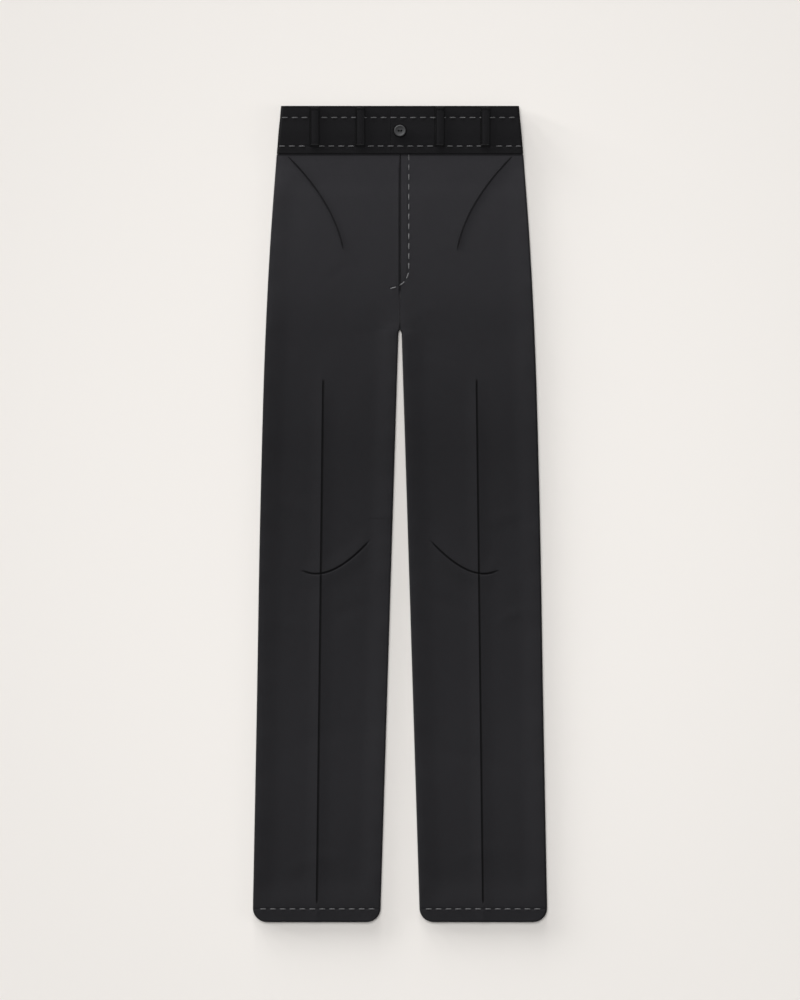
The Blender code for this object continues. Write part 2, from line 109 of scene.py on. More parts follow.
# How those heights and the edges change on the way down: (down, value)
TUCK_END = BAND_DEPTH + 0.6
FRONT_LEVEL = (
    (TUCK_END, FRONT_TUCK_TOP),
    (110.0, HIP_TOP),
    (252.0, HIP_TOP),
    (330.0, LEG_TOP),
    (1040.0, LEG_TOP),
    (HEM_TOP, HEM_FRONT_TOP),
)
BACK_LEVEL = ((TUCK_END, BACK_TUCK_LOW), (78.0, 0.0))
SIDE_CROWN = ((TUCK_END, FRONT_TUCK_TOP), (85.0, EDGE_TOP))
SEAM_LEVEL = ((TUCK_END, FRONT_TUCK_LOW - GAP / 2), (90.0, LEG_SEAM))
HEM_START = HEM_TOP - 1.0  # the wall doubles between here and HEM_TOP, where the hem is turned up
WALL = ((HEM_START, CLOTH), (HEM_TOP, 2 * CLOTH))
TUCK_DEPTH = 6.0
TUCK_INSET = ((BAND_DEPTH + 0.1, BAND_CLOTH + 0.4), (BAND_DEPTH + 1.0, 0.0))
SIDE_RUN = ((BAND_DEPTH, 1.6), (90.0, 2.8))
BUTT_RUN = 0.35
LEG_RUN = 2.8
INNER_RUN = 0.4
CROWN_WIDTH = 30.0
INSEAM_STARTS = 290.0
CROWN_RISES = (258.0, 314.0)  # distances down between which the inner edge rises to EDGE_TOP

# Pressed crease, knee fold and pocket mouth
CREASE_TOP = (370.0, 103.7)  # down, out
CREASE_END = (1073.0, 112.3)
CREASE_HEIGHT = 1.4
CREASE_HEIGHTS = ((335.0, 0.0), (430.0, CREASE_HEIGHT), (1030.0, CREASE_HEIGHT), (HEM_TOP, 0.7))
CREASE_HALF_WIDTH = 17.0
CREASE_SHARPNESS = 1.5
KNEE_FOLD = ((131.0, 627.8), (94.5, 645.3), (41.2, 587.3))  # out, down
KNEE_OUTER, KNEE_INNER = KNEE_FOLD[0][0], KNEE_FOLD[2][0]
POCKET_MOUTH = ((151.0, 68.5), (89.5, 129.5), (76.8, 193.1))
KNEE_SWELL = 0.7
KNEE_SWELL_REACH = 24.0
KNEE_GROOVE = 0.8
KNEE_GROOVE_WIDTH = 1.1
KNEE_BEND_REACH = 70.0
KNEE_FADE = 14.0
KNEE_PAST = 4.0
KNEE_ROW = 620.0

# Fly: the right front passes under the left one
FLY_END = 251.8
FLY_DIP = CLOTH + GAP + 0.1
FLY_DIPS = ((76.0, 0.0), (84.0, FLY_DIP), (250.0, FLY_DIP), (262.0, 0.0))
FLY_UNDERLAPS = ((84.0, 0.0), (96.0, 14.0), (236.0, 14.0), (250.0, 0.0))
FLY_DIP_FLAT = 0.2
FLY_DIP_WIDTH = 2.2
FLY_STITCH_OUT = 11.9
FLY_BEND = ((FLY_STITCH_OUT, 218.7), (FLY_STITCH_OUT, 242.2), (-13.5, 246.4))

# Waistband
BAND_LAP = 12.0
BAND_ROUND = 0.7
BAND_END_ROUND = 0.35
BAND_STITCHES = (15.8, 54.4)  # distances down of its two rows of topstitching
UNDERLAP_OUT = (-28.0, 24.0)
UNDERLAP_DOWN = (3.0, 57.0)

# Belt loops and pocket welts
LOOP_SPOTS = (-115.3, -53.6, 53.6, 115.3)
BACK_LOOP_SPOTS = (-110.0, 0.0, 110.0)
LOOP_WIDTH = 12.0
LOOP_EDGE_PAINTED_SHADE = (1.05, 0.65)  # painted shade at a loop's edges, the viewer's left one and its right one; the left is darker as the lamps light that side
LOOP_PAINTED_SHADOW = (0.75, 0.3)  # painted shadow on the band beside a loop, on its left and on its right: darker on the lit left, lighter on the right where the loop casts a real shadow
LOOP_END = 55.4
FRONT_LOOP_CLOTH = 1.4
FRONT_LOOP_BOW = 0.45  # how far a front loop's middle stands off
WELT_WIDTH = 2.4
WELT_CLOTH = 1.0
WELT_GAP = 0.6 * GAP

# Button
BUTTON_DOWN = 33.6
BUTTON_PROFILE = (  # radius, height over its underside: the underside, the rim and the dish
    *((0.0, 0.0), (3.0, 0.0), (5.8, 0.02), (6.9, 0.3), (7.7, 0.9)),
    *((8.0, 1.45), (7.85, 2.1), (7.3, 2.52), (6.6, 2.55), (6.0, 2.4)),
    *((5.1, 2.0), (4.0, 1.72), (2.6, 1.6), (0.0, 1.58)),
)
HOLE_OUT = 1.95
HOLE_PROFILE = ((1.2, -1.0), (1.2, 1.2), (1.26, 1.46), (1.5, 1.72), (1.5, 4.0))  # radius, height
RIM_SHADE = (7.9 * MM, 0.9 * MM)  # radius and width of the ring of painted shade round the rim

# Thread
STITCH = 8.6
STITCH_PITCH = 13.33
STITCH_DIP = 1.3  # width of the groove along a row
WAIST_ROWS = (  # name, distance down, start out, stitches, what hides some of them
    ("upper", BAND_STITCHES[0], -159.7, 24, ()),
    ("lower", BAND_STITCHES[1], -163.6, 25, LOOP_SPOTS),
)
HIDDEN_REACH = 6.5  # how near a loop's middle a stitch is hidden
BACK_ROW_START = -152.0
BACK_ROW_STITCHES = 23
HEM_STITCH_DOWN = 1084.0
HEM_ROW_STARTS = {"left": 34.45, "right": -189.25}
HEM_ROW_LENGTH = 160.0
HEM_ROW_STITCHES = 12
HEM_BACK_SUNK = 0.9
FLY_STITCHES = 15
STRAND = 0.44  # radius of each of a stitch's two strands
STRAND_SPREAD = 0.4
TWIST = 4.6
TACKS_DOWN = (3.6, LOOP_END - 2.6)
TACK_LENGTH, TACK_WIDTH, TACK_TURNS = 9.6, 1.7, 26

# Soft folds in the fronts: start out and down, end out and down, half width, height
FOLDS_LEFT = (
    (7, 294, 60, 268, 13, 0.13),
    (9, 311, 64, 322, 15, -0.11),
    (16, 338, 72, 372, 16, 0.14),
    (58, 206, 92, 236, 13, -0.24),
    (118, 566, 170, 548, 15, 0.30),
    (34, 664, 92, 688, 14, -0.28),
    (130, 702, 176, 678, 12, 0.24),
    (46, 872, 150, 902, 19, -0.22),
    (64, 1022, 166, 1004, 17, 0.24),
)
FOLDS_RIGHT = (
    (6, 290, 52, 262, 12, 0.12),
    (10, 306, 74, 312, 14, -0.13),
    (14, 346, 62, 388, 17, 0.12),
    (64, 214, 100, 240, 12, -0.22),
    (122, 556, 172, 532, 13, 0.26),
    (38, 672, 100, 700, 15, -0.26),
    (126, 716, 170, 690, 13, 0.26),
    (58, 842, 158, 874, 20, -0.20),
    (72, 1012, 158, 1034, 15, 0.26),
)
# Troughs in the underside, as the fronts' folds: behind the knee, under the seat, over the hem
BACK_FOLDS = (
    (22, 318, 128, 352, 9, 0.42),
    (16, 352, 92, 398, 8, 0.32),
    (44, 596, 158, 622, 7, 0.46),
    (62, 642, 170, 626, 8, 0.34),
    (36, 574, 118, 560, 9, 0.28),
    (60, 980, 172, 1000, 12, 0.26),
)
CALM_WAIST, CALM_HEM = (74.0, 110.0), (1052.0, HEM_TOP)  # distances down where folds fade in and out

# Tones as seen, of 255
TWILL_TONES_WITH_PAINTED_SHADE = (  # down, tone: tones with painted light and shade, lightest under the waistband against its shadow and darkest over the thighs
    (BAND_DEPTH, 58),  # the waist seam, painted lighter against the waistband's shadow
    (TUCK_END + 10, 54),
    (POCKET_MOUTH[1][1], 47),
    (CROTCH_DOWN, 40),
    (460.0, 34.5),  # the thigh
    (KNEE_ROW, 36.5),
    (900.0, 38.5),  # the shin
    (LENGTH, 34),
)
BAND_TONE = 24.2
# The welt is the body's own cloth, painted darker as the shade of the pocket mouth.
WELT_PAINTED_SHADE_TONE = 29
RESIN_TONE = 54
THREAD_TONES = {"fly": 98, "hem": 81, "waist": 71, "tack": 15}
CHARCOAL, COTTON, RESIN = (0.985, 0.96, 1.07), (0.99, 0.99, 1.02), (0.98, 0.99, 1.03)  # casts on grey
RIB_PITCH = 0.8 * MM

# Light and picture
FLOOR_LIGHT = 1.03
SKY_SHARE = 0.15
WAIST_SIDE = 30  # azimuth of the main lights, beyond the waist and a little to the viewer's left
LOW_FAN = ((-28, 0.2), (-8, 0.25), (14, 0.28), (36, 0.27))  # turned from WAIST_SIDE, part of the low light
PICTURE_PLANE = 3.0  # height at which the frame's scale holds
PIXEL = 1.35  # millimetres on the garment
PICTURE_ROWS = 1000
PICTURE_SHIFT = 14  # rows from the garment's middle up to the frame's


# Small sums


def ramp(value, start, end):
    """0 before start, 1 after end, with a soft rise between."""
    t = np.clip((value - start) / (end - start), 0.0, 1.0)
    return t * t * (3 - 2 * t)


def blend(a, b, share):
    return a + (b - a) * share


def hill(distance, reach):
    """1 at no distance, 0 past the reach, round at both ends."""
    return 0.5 + 0.5 * np.cos(math.pi * np.minimum(np.abs(distance) / reach, 1.0))


def bell(distance, width):
    return np.exp(-((distance / width) ** 2))


def stepped(table, at):
    """The table's second column, level past its ends and with a soft step between rows."""
    value = table[0][1]
    for (start, _), (end, target) in zip(table, table[1:]):
        value = blend(value, target, ramp(at, start, end))
    return value


def curved(table, at):
    """The table's second column on one smooth curve through all its rows."""
    x, y = np.array(table).T
    last = len(x) - 1
    here = np.arange(last + 1)
    before, after = np.maximum(here - 1, 0), np.minimum(here + 1, last)
    slopes = (y[after] - y[before]) / (x[after] - x[before])
    i = np.clip(np.searchsorted(x, at) - 1, 0, last - 1)
    span = x[i + 1] - x[i]
    t = (at - x[i]) / span
    start = (2 * t**3 - 3 * t**2 + 1) * y[i] + (t**3 - 2 * t**2 + t) * span * slopes[i]
    return start + (3 * t**2 - 2 * t**3) * y[i + 1] + (t**3 - t**2) * span * slopes[i + 1]


def curve_points(curve, t):
    start, pull, end = (np.array(p) for p in curve)
    t = np.asarray(t)[..., None]
    return (1 - t) ** 2 * start + 2 * t * (1 - t) * pull + t**2 * end


def curve_down_at(curve, out):
    """How far down the curve is at a distance out, and its slope. Past its ends it runs level."""
    (x0, y0), (x1, y1), (x2, y2) = curve
    out = np.clip(out, min(x0, x2), max(x0, x2))
    a, b, c = x0 - 2 * x1 + x2, 2 * (x1 - x0), x0 - out
    t = (-b - np.sqrt(b * b - 4 * a * c)) / (2 * a)
    run = 2 * (1 - t) * (x1 - x0) + 2 * t * (x2 - x1)
    fall = 2 * (1 - t) * (y1 - y0) + 2 * t * (y2 - y1)
    return curve_points(curve, t)[..., 1], fall / run


def distance_to(path, out, down):
    """Distance of each grid point to a path of points (out, down)."""
    nearest = np.full(np.shape(out), np.inf)
    for (x0, y0), (x1, y1) in zip(path, path[1:]):
        dx, dy = x1 - x0, y1 - y0
        t = np.clip(((out - x0) * dx + (down - y0) * dy) / (dx * dx + dy * dy), 0.0, 1.0)
        nearest = np.minimum(nearest, np.hypot(out - x0 - t * dx, down - y0 - t * dy))
    return nearest


def sideways(spots):
    """Unit steps square to a path, at each of its points."""
    ahead = np.gradient(spots, axis=0)
    return np.stack([-ahead[:, 1], ahead[:, 0]], -1) / np.linalg.norm(ahead, axis=1)[:, None]


def place(out, down, height, side):
    """Millimetres of the cut to Blender's metres."""
    return np.stack([side * np.asarray(out), LENGTH / 2 - np.asarray(down), np.asarray(height)], -1) * MM


def spread(start, *stretches):
    """Distances along rows or columns from a start: each stretch is (end, spacing)."""
    parts = []
    for end, step in stretches:
        parts.append(np.arange(start, end - step / 4, step))
        start = end
    return np.concatenate([*parts, [start]])


# Outline and heights of the panels


def hem_inset(down):
    below = np.clip(down - HEM_TOP, 0.0, HEM_CORNER)
    return HEM_CORNER - np.sqrt(HEM_CORNER**2 - below**2)


def side_edge(down):
    return curved(SIDE_SEAM, np.minimum(down, HEM_TOP)) - hem_inset(down)


def panel_side_edge(down):
    return side_edge(down) - stepped(TUCK_INSET, down)


def inner_edge(down):
    """Where the outline is, at the inseam, or the centre seam above the crotch."""
    tip = 1 - np.clip((down - CROTCH_DOWN) / CROTCH_ROUND, 0.0, 1.0)
    width = LEG_GAP_START + LEG_GAP_SLOPE * (np.minimum(down, HEM_TOP) - CROTCH_DOWN)
    leg = np.maximum(width * np.sqrt(1 - tip * tip), SEAM_GAP / 2) + hem_inset(down)
    return np.where(down <= CROTCH_DOWN, SEAM_GAP / 2, leg)


def inseam_share(down):
    """0 where the two panels of a pair butt at the centre, 1 where the leg has an inseam."""
    return ramp(down, INSEAM_STARTS, CROTCH_DOWN)


def inner_run(down):
    return blend(BUTT_RUN, LEG_RUN, inseam_share(down))


def inner_crown(down):
    return blend(stepped(FRONT_LEVEL, down), EDGE_TOP, ramp(down, *CROWN_RISES))


def crease_out(down):
    (top, out), (end, end_out) = CREASE_TOP, CREASE_END
    return blend(out, end_out, (down - top) / (end - top))


def crease_rise(out, down):
    slope = 1 - np.minimum(np.abs(out - crease_out(down)) / CREASE_HALF_WIDTH, 1.0)
    return stepped(CREASE_HEIGHTS, down) * slope**CREASE_SHARPNESS


def off_knee_fold(out, down):
    row, slope = curve_down_at(KNEE_FOLD, out)
    return (down - row) / np.sqrt(1 + slope * slope)


def knee_rise(out, down):
    """A soft swell with a narrow groove along the knee fold."""
    off = off_knee_fold(out, down)
    fade = ramp(out, KNEE_INNER - KNEE_PAST, KNEE_INNER + KNEE_FADE)
    fade = fade * (1 - ramp(out, KNEE_OUTER - KNEE_FADE, KNEE_OUTER + KNEE_PAST))
    swell = KNEE_SWELL * hill(off, KNEE_SWELL_REACH) * (1 - crease_rise(out, down) / CREASE_HEIGHT)
    return fade * (swell - KNEE_GROOVE * bell(off, KNEE_GROOVE_WIDTH))


def fly_dip(out, down, side):
    """How far the right front dips, to pass under the left one."""
    dip = stepped(FLY_DIPS, down) * (1 - ramp(out, FLY_DIP_FLAT, FLY_DIP_FLAT + FLY_DIP_WIDTH))
    return dip * (side < 0)


def front_height(out, down, side):
    """Height of the front panel's face between its two rolled edges, with no fine relief."""
    level = stepped(FRONT_LEVEL, down)
    from_side = panel_side_edge(down) - stepped(SIDE_RUN, down) - out
    from_inner = out - inner_edge(down) - inner_run(down)
    height = level + crease_rise(out, down) + knee_rise(out, down)
    height = height + (stepped(SIDE_CROWN, down) - level) * hill(from_side, CROWN_WIDTH)
    height = height + (inner_crown(down) - level) * hill(from_inner, CROWN_WIDTH)
    return height - fly_dip(out, down, side)


def fly_stitch_path():
    """Down beside the fly, then round across the centre line."""
    straight = [(FLY_STITCH_OUT, BAND_DEPTH + 0.2), (FLY_STITCH_OUT, FLY_BEND[0][1] - 0.1)]
    return straight + [tuple(p) for p in curve_points(FLY_BEND, np.linspace(0, 1, 24))]


# Fine relief, which is part of the cloth's life and not of its cut


def soft_folds(folds, out, down):
    relief = np.zeros(np.shape(out))
    for x0, y0, x1, y1, half_width, height in folds:
        dx, dy = x1 - x0, y1 - y0
        length = math.hypot(dx, dy)
        along = ((out - x0) * dx + (down - y0) * dy) / length**2
        across = ((out - x0) * dy - (down - y0) * dx) / length
        sag = 0.07 * length * (1 - (2 * np.clip(along, 0, 1) - 1) ** 2)
        taper = ramp(along, -0.12, 0.3) * (1 - ramp(along, 0.6, 1.12))
        relief += height * taper * hill(across - sag, half_width)
    return relief


def cloth_waves(out, down, side):
    """Long, low waves of cloth that was smoothed out by hand. The two sides differ."""
    shift = 0.31 * side
    broad = np.sin(math.tau * (down / 287 + out / 410 + shift)) * np.sin(math.tau * (out / 118 + shift))
    close = np.sin(math.tau * (down / 131 - out / 260 - shift)) * np.sin(math.tau * (out / 71 + 0.4))
    return 0.14 * broad + 0.08 * close


def edge_waves(down, side):
    """A rolled edge is never quite even."""
    shift = 0.23 * side
    return 0.16 * np.sin(math.tau * (down / 83 + shift)) + 0.1 * np.sin(math.tau * (down / 37 - shift))


def hem_relief(out, down):
    """The hem's sewn line, with the slight slanting ripple that a turned-up hem gets."""
    ripple = 0.04 * np.sin(math.tau * (out - 0.7 * (down - HEM_TOP)) / 9.6)
    band = ramp(down, HEM_STITCH_DOWN, HEM_STITCH_DOWN + 3) * (1 - ramp(down, LENGTH - 5, LENGTH - 1))
    return ripple * band - 0.3 * bell(down - HEM_STITCH_DOWN, STITCH_DIP)


def front_relief(out, down, side):
    """Fine relief of a front. side is 1 for the left panel, -1 for the right one."""
    folds = FOLDS_LEFT if side > 0 else FOLDS_RIGHT
    calm = ramp(down, *CALM_WAIST) * (1 - ramp(down, *CALM_HEM))
    at_centre = blend(ramp(out, 0.0, 9.0), 1.0, inseam_share(down))
    relief = calm * at_centre * (cloth_waves(out, down, side) + soft_folds(folds, out, down))
    edges = hill(panel_side_edge(down) - out, CROWN_WIDTH)
    edges = edges + hill(out - inner_edge(down), CROWN_WIDTH) * inseam_share(down)
    relief = relief + calm * edges * edge_waves(down, side)
    sewn = distance_to([(side * x, y) for x, y in fly_stitch_path()], out, down)
    relief = relief - 0.28 * bell(sewn, STITCH_DIP)
    if side > 0:
        inside_fly = ramp(FLY_STITCH_OUT - out, 0.5, 3) * (1 - ramp(down, 205, 240))
        relief = relief + 0.22 * inside_fly * ramp(out, 0.3, 1.5) * ramp(down, 68, 76)
    groove = 0.4 * bell(out - crease_out(down), 0.9) * crease_line(out, down, feather=4.0)
    return relief + hem_relief(out, down) - groove


def crease_line(out, down, feather=0.0):
    """1 on the painted shade line of the crease, which tapers at both ends."""
    top, end = CREASE_TOP[0], CREASE_END[0]
    half = 1.55 * ramp(down, top - 2, top + 1) * (1 - ramp(down, end - 2, end + 6))
    off = np.abs(out - crease_out(down) + 0.2)
    return 1.1 * (1 - ramp(off, half - 0.4, half + 0.3 + feather)) * ramp(half, 0.1, 0.5)


def knee_line(out, down):
    # Painted shade in the groove of the knee fold.
    half = 1.5 * ramp(out, KNEE_INNER - 2, KNEE_INNER + 7) * (1 - ramp(out, KNEE_OUTER - 3, KNEE_OUTER + 3))
    off = np.abs(off_knee_fold(out, down) + 0.3)
    return (1 - ramp(off, half - 0.4, half + 0.4)) * ramp(half, 0.1, 0.5)


def outline_shade(out, down):
    """Painted shade where the cloth rolls away at the outline."""
    inseam = 0.35 * (1 - ramp(out - inner_edge(down), 0.8, 3.0)) * (down > CROTCH_DOWN)
    to_edge = np.minimum(side_edge(down) - out, LENGTH - down)
    return np.maximum(0.65 * (1 - ramp(to_edge, 0.8, 3.4)), inseam)


def front_lines(out, down, side):
    """Painted shade at each point: in the creases, the knee folds, the fly's step, under the waist seam and
    at the outline.
    """
    # The fly line is painted shade at the step where the left front laps the right one.
    fly = 1 - ramp(out, 1.2, 1.7) if side > 0 else 0.6 * (1 - ramp(out, 0.5, 1.2))
    fly = fly * (1 - ramp(down, FLY_END - 4, FLY_END + 2))
    # Painted shadow of the waistband along the seam below it.
    seam = 0.68 * (1 - ramp(down, BAND_DEPTH + 2.0, BAND_DEPTH + 3.3))
    creases = crease_line(out, down), knee_line(out, down)
    return np.maximum.reduce([*creases, fly, seam, outline_shade(out, down)])


# Grids: rows go down and columns go out. Distances down have shape (rows, 1), or one for each point

FRONT_ANGLES, BACK_ANGLES = np.linspace(0, 90, 8), np.linspace(0, 90, 7)
EDGE_BAND = 1.5  # first columns past a rolled inner edge
NEAR_INNER = (0.5, 1.1, 1.8, 2.6, 3.5, 4.5, 5.5, 6.5, 7.4, 8.2, 8.8, 9.3, 9.8, 10.4, 11.2, 12.4, 14.0)
NEAR_CREASE = (0.35, 0.7, 1.05, 1.4, 1.9, 2.7, 3.9, 5.5, 7.5, 10.0, 13.0, 16.0)
NEAR_SIDE = (0.7, 1.5, 2.5, 4.0, 6.0, 9.0)
LAP_SHARES = (0.85, 0.55, 0.25, 0.09, 0.075, 0.06, 0.045, 0.03, 0.02, 0.01)  # how far each lap column goes
BACK_NEAR = (0.7, 1.6, 3.0, 5.5, 9.0)
BACK_CREASE = (0.7, 1.6, 2.6, 3.6, 4.6, 6.0, 8.5, 12.0)


def roll_grid(edge, seat, crown, run, cloth, angles, inward):
    """Outer and inner (out, height) round an edge, for columns at each angle and rows of edges."""
    back, rise = 1 - np.cos(np.radians(angles)), np.sin(np.radians(angles))
    up = crown - seat
    thin = np.copysign(np.maximum(np.abs(up) - cloth, 0.0), up)
    outer = edge + inward * run * back, seat + up * rise
    inner = edge + inward * (cloth + np.maximum(run - cloth, INNER_RUN) * back), seat + thin * rise
    return outer, inner


def between(start, end, count):
    """Evenly spaced columns strictly between two columns."""
    return start + (end - start) * (np.arange(1, count + 1) / (count + 1))


def columns_across(start, crease, end, near_start, near_crease, near_end, counts):
    """Distances out of columns from a start to an end, close together at both and at the crease."""
    parts = [
        start + np.array(near_start),
        between(start + near_start[-1], crease - near_crease[-1], counts[0]),
        crease - np.array(near_crease[::-1]),
        crease,
        crease + np.array(near_crease),
        between(crease + near_crease[-1], end - near_end[-1], counts[1]),
        end - np.array(near_end[::-1]),
    ]
    return np.concatenate(parts, axis=1)


def front_columns(down, side):
    """Distances out of a front's columns between its rolled edges. The right front laps at the fly."""
    start, end = inner_edge(down) + inner_run(down), panel_side_edge(down) - stepped(SIDE_RUN, down)
    hinge = start + EDGE_BAND
    lap = between(start, hinge, len(LAP_SHARES)) - fly_lap(down, side) * np.array(LAP_SHARES)
    rest = columns_across(hinge, crease_out(down), end, NEAR_INNER, NEAR_CREASE, NEAR_SIDE, (14, 13))
    return np.concatenate([lap, hinge, rest], axis=1)


def fly_lap(down, side):
    """How far the right front reaches past the centre, under the left one."""
    return stepped(FLY_UNDERLAPS, down) * (side < 0)


def bend_to_knee(row, out):
    """Rows near the knee fold follow its curve, so that the groove stays crisp."""
    share = 1 - ramp(np.abs(row - KNEE_ROW), KNEE_SWELL_REACH, KNEE_BEND_REACH)
    return row + share * (curve_down_at(KNEE_FOLD, out)[0] - KNEE_ROW)


def hem_rows(count):
    """Rows of the rounded hem, closer together towards its fold."""
    return HEM_TOP + HEM_CORNER * np.sin(np.linspace(0, math.pi / 2, count))


def front_rows():
    upper = spread(
        BAND_DEPTH - TUCK_DEPTH,
        *((64, 1.7), (66.4, 0.3), (69, 0.5), (215, 3.4), (256, 1.1), (298, 2.0), (312, 0.8), (340, 2.3)),
        (KNEE_ROW - KNEE_BEND_REACH - 4, 4.0),
    )
    fold = ((-24, 3.3), (-8, 1.6), (-3, 0.8), (3, 0.4), (8, 0.8), (24, 1.6))
    knee = spread(-KNEE_BEND_REACH, *fold, (KNEE_BEND_REACH, 3.3))
    shin = spread(KNEE_ROW + KNEE_BEND_REACH + 4, (1056, 4.3), (HEM_START, 1.6))
    return np.concatenate([upper, KNEE_ROW + knee, shin, hem_rows(50)])[:, None]


def back_rows():
    legs = ((64, 2.0), (98, 1.7), (298, 5.0), (312, 1.0), (700, 3.2), (1060, 5.0), (HEM_START, 2.2))
    return np.concatenate([spread(BAND_DEPTH - TUCK_DEPTH, *legs), hem_rows(44)])[:, None]


def round_fold(outer, inner):
    """The hem's fold is round: the two faces close on each other over its last stretch."""
    left = np.clip((LENGTH - outer[..., 1]) / CLOTH, 0.0, 1.0)
    share = np.maximum(np.sqrt(1 - (1 - left) ** 2), 0.08)
    middle = (outer[..., 2] + inner[..., 2]) / 2
    outer[..., 2] = blend(middle, outer[..., 2], share)
    inner[..., 2] = blend(middle, inner[..., 2], share)


def closed_shell(outer, inner, side):
    """Points and faces of a closed wall between two grids of (out, down, height)."""
    rows, columns = outer.shape[:2]
    points = [place(*np.moveaxis(grid, -1, 0), side).reshape(-1, 3) for grid in (outer, inner)]
    a = np.arange(rows * columns).reshape(rows, columns)
    b = a + rows * columns

    def quads(grid):
        corners = grid[:-1, :-1], grid[:-1, 1:], grid[1:, 1:], grid[1:, :-1]
        return np.stack(corners, -1).reshape(-1, 4)

    def rim(top, low):
        return np.stack([top[:-1], low[:-1], low[1:], top[1:]], -1)

    rims = [rim(a[:, -1], b[:, -1]), rim(b[:, 0], a[:, 0]), rim(a[0], b[0]), rim(b[-1], a[-1])]
    return np.concatenate(points), np.concatenate([quads(a), quads(b)[:, ::-1], *rims])


# Pieces in the scene


def new_object(name, data):
    made = bpy.data.objects.new(name, data)
    bpy.context.scene.collection.objects.link(made)
    return made


def new_piece(name, points, faces, lines=None, sharp=50):
    """An object from points in metres and its faces, turned so that a closed shape faces out."""
    a, b, c, d = (points[faces[:, i]] for i in range(4))
    swept = np.einsum("ij,ij->i", a, np.cross(b, c)).sum() + np.einsum("ij,ij->i", a, np.cross(c, d)).sum()
    if swept < 0:
        faces = faces[:, ::-1]
    mesh = bpy.data.meshes.new(name)
    mesh.from_pydata(points.tolist(), [], faces.tolist())
    smooth(mesh, sharp)
    if lines is not None:
        # The line attribute holds painted shade, which the twills read.
        drawn = mesh.attributes.new("line", "FLOAT", "POINT")
        drawn.data.foreach_set("value", np.ravel(lines).astype(np.float32))
    return new_object(name, mesh)


def smooth(mesh, sharp):
    mesh.shade_smooth()
    mesh.set_sharp_from_angle(angle=math.radians(sharp))


def walls_of(count, around):
    """Faces between rings of points, each closed on itself."""
    index = np.arange(count * around).reshape(count, around)
    ahead = np.roll(index, -1, axis=1)
    return np.stack([index[:-1], ahead[:-1], ahead[1:], index[1:]], -1).reshape(-1, 4)


def loft(name, rings, lines=None):
    """A closed solid through rings of points, shape (rings, points, 3) in metres, with flat ends."""
    rings = np.array(rings)
    if lines is not None:
        lines = np.broadcast_to(lines, rings.shape[:2])
    return close_ends(new_piece(name, rings.reshape(-1, 3), walls_of(*rings.shape[:2]), lines))


def close_ends(piece):
    """Fills every open end with a flat face, and turns all faces out."""
    shape = bmesh.new()
    shape.from_mesh(piece.data)
    bmesh.ops.holes_fill(shape, edges=shape.edges, sides=0)
    bmesh.ops.recalc_face_normals(shape, faces=shape.faces)
    shape.to_mesh(piece.data)
    shape.free()
    return piece


def finish_piece(piece, material, node=None):
    """Gives a piece its material and slot, rides it on the garment and hides the node that it stands for."""
    piece.data.materials.append(material)
    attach(piece, "root")
    if node:
        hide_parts(node)
    return piece


# Panels


def panel(name, side, downs, faces, shade):
    """A closed panel. Each of its faces is (out, height) at the inner edge, on the flat and at the side."""
    grids = []
    for start, middle, end in faces:
        parts = zip((start, middle, [part[:, ::-1] for part in end]), downs)
        points = [(out, np.broadcast_to(down, out.shape), height) for (out, height), down in parts]
        grids.append(np.concatenate([np.stack(part, -1) for part in points], axis=1))
    outer, inner = grids
    round_fold(outer, inner)
    lines = shade(outer[..., 0], outer[..., 1])
    return new_piece(name, *closed_shell(outer, inner, side), [lines, np.zeros(lines.shape)])


def front_panel(label):
    side, rows = SIDES[label], front_rows()
    out = front_columns(rows, side)
    for _ in range(2):
        down = bend_to_knee(rows, out)
        picked = [front_columns(column[:, None], side)[:, i] for i, column in enumerate(down.T)]
        out = np.stack(picked, axis=1)
    down = bend_to_knee(rows, out)
    bare = front_height(out, down, side)
    face, back = (out, bare + front_relief(out, down, side)), (out, bare - stepped(WALL, down))

    rise = bend_to_knee(rows, KNEE_INNER)
    edge, share, cloth = inner_edge(rise) - fly_lap(rise, side), inseam_share(rise), stepped(WALL, rise)
    crown = inner_crown(rise) - fly_dip(edge, rise, side)
    crown += front_relief(edge + inner_run(rise), rise, side) * share
    seat = blend(crown - cloth, LEG_SEAM + GAP / 2, share)
    start = roll_grid(edge, seat, crown, inner_run(rise), cloth, FRONT_ANGLES, 1)

    fall = bend_to_knee(rows, KNEE_OUTER)
    edge, cloth, run = panel_side_edge(fall), stepped(WALL, fall), stepped(SIDE_RUN, fall)
    crown = stepped(SIDE_CROWN, fall) + front_relief(edge - run, fall, side)
    seat = stepped(SEAM_LEVEL, fall) + GAP / 2
    end = roll_grid(edge, seat, crown, run, cloth, FRONT_ANGLES, -1)

    faces = (start[0], face, end[0]), (start[1], back, end[1])
    return panel(f"front_{label}_cloth", side, (rise, down, fall), faces, lambda *at: front_lines(*at, side))


def back_relief(out, down):
    """How far the underside is drawn up off the floor, along creases, folds and the hem's stitching."""
    off = np.abs(out - crease_out(down))
    pressed = ramp(down, 345, 420) * (1 - ramp(down, 1040, HEM_TOP))
    relief = 0.42 * pressed * bell(off - 3.6, 2.6) + soft_folds(BACK_FOLDS, out, down)
    seat = 0.5 * bell(out - GAP, 1.1) * ramp(down, 84, 96) * (1 - inseam_share(down))
    return np.maximum(relief, 0) + seat + 0.95 * bell(down - HEM_STITCH_DOWN, STITCH_DIP)


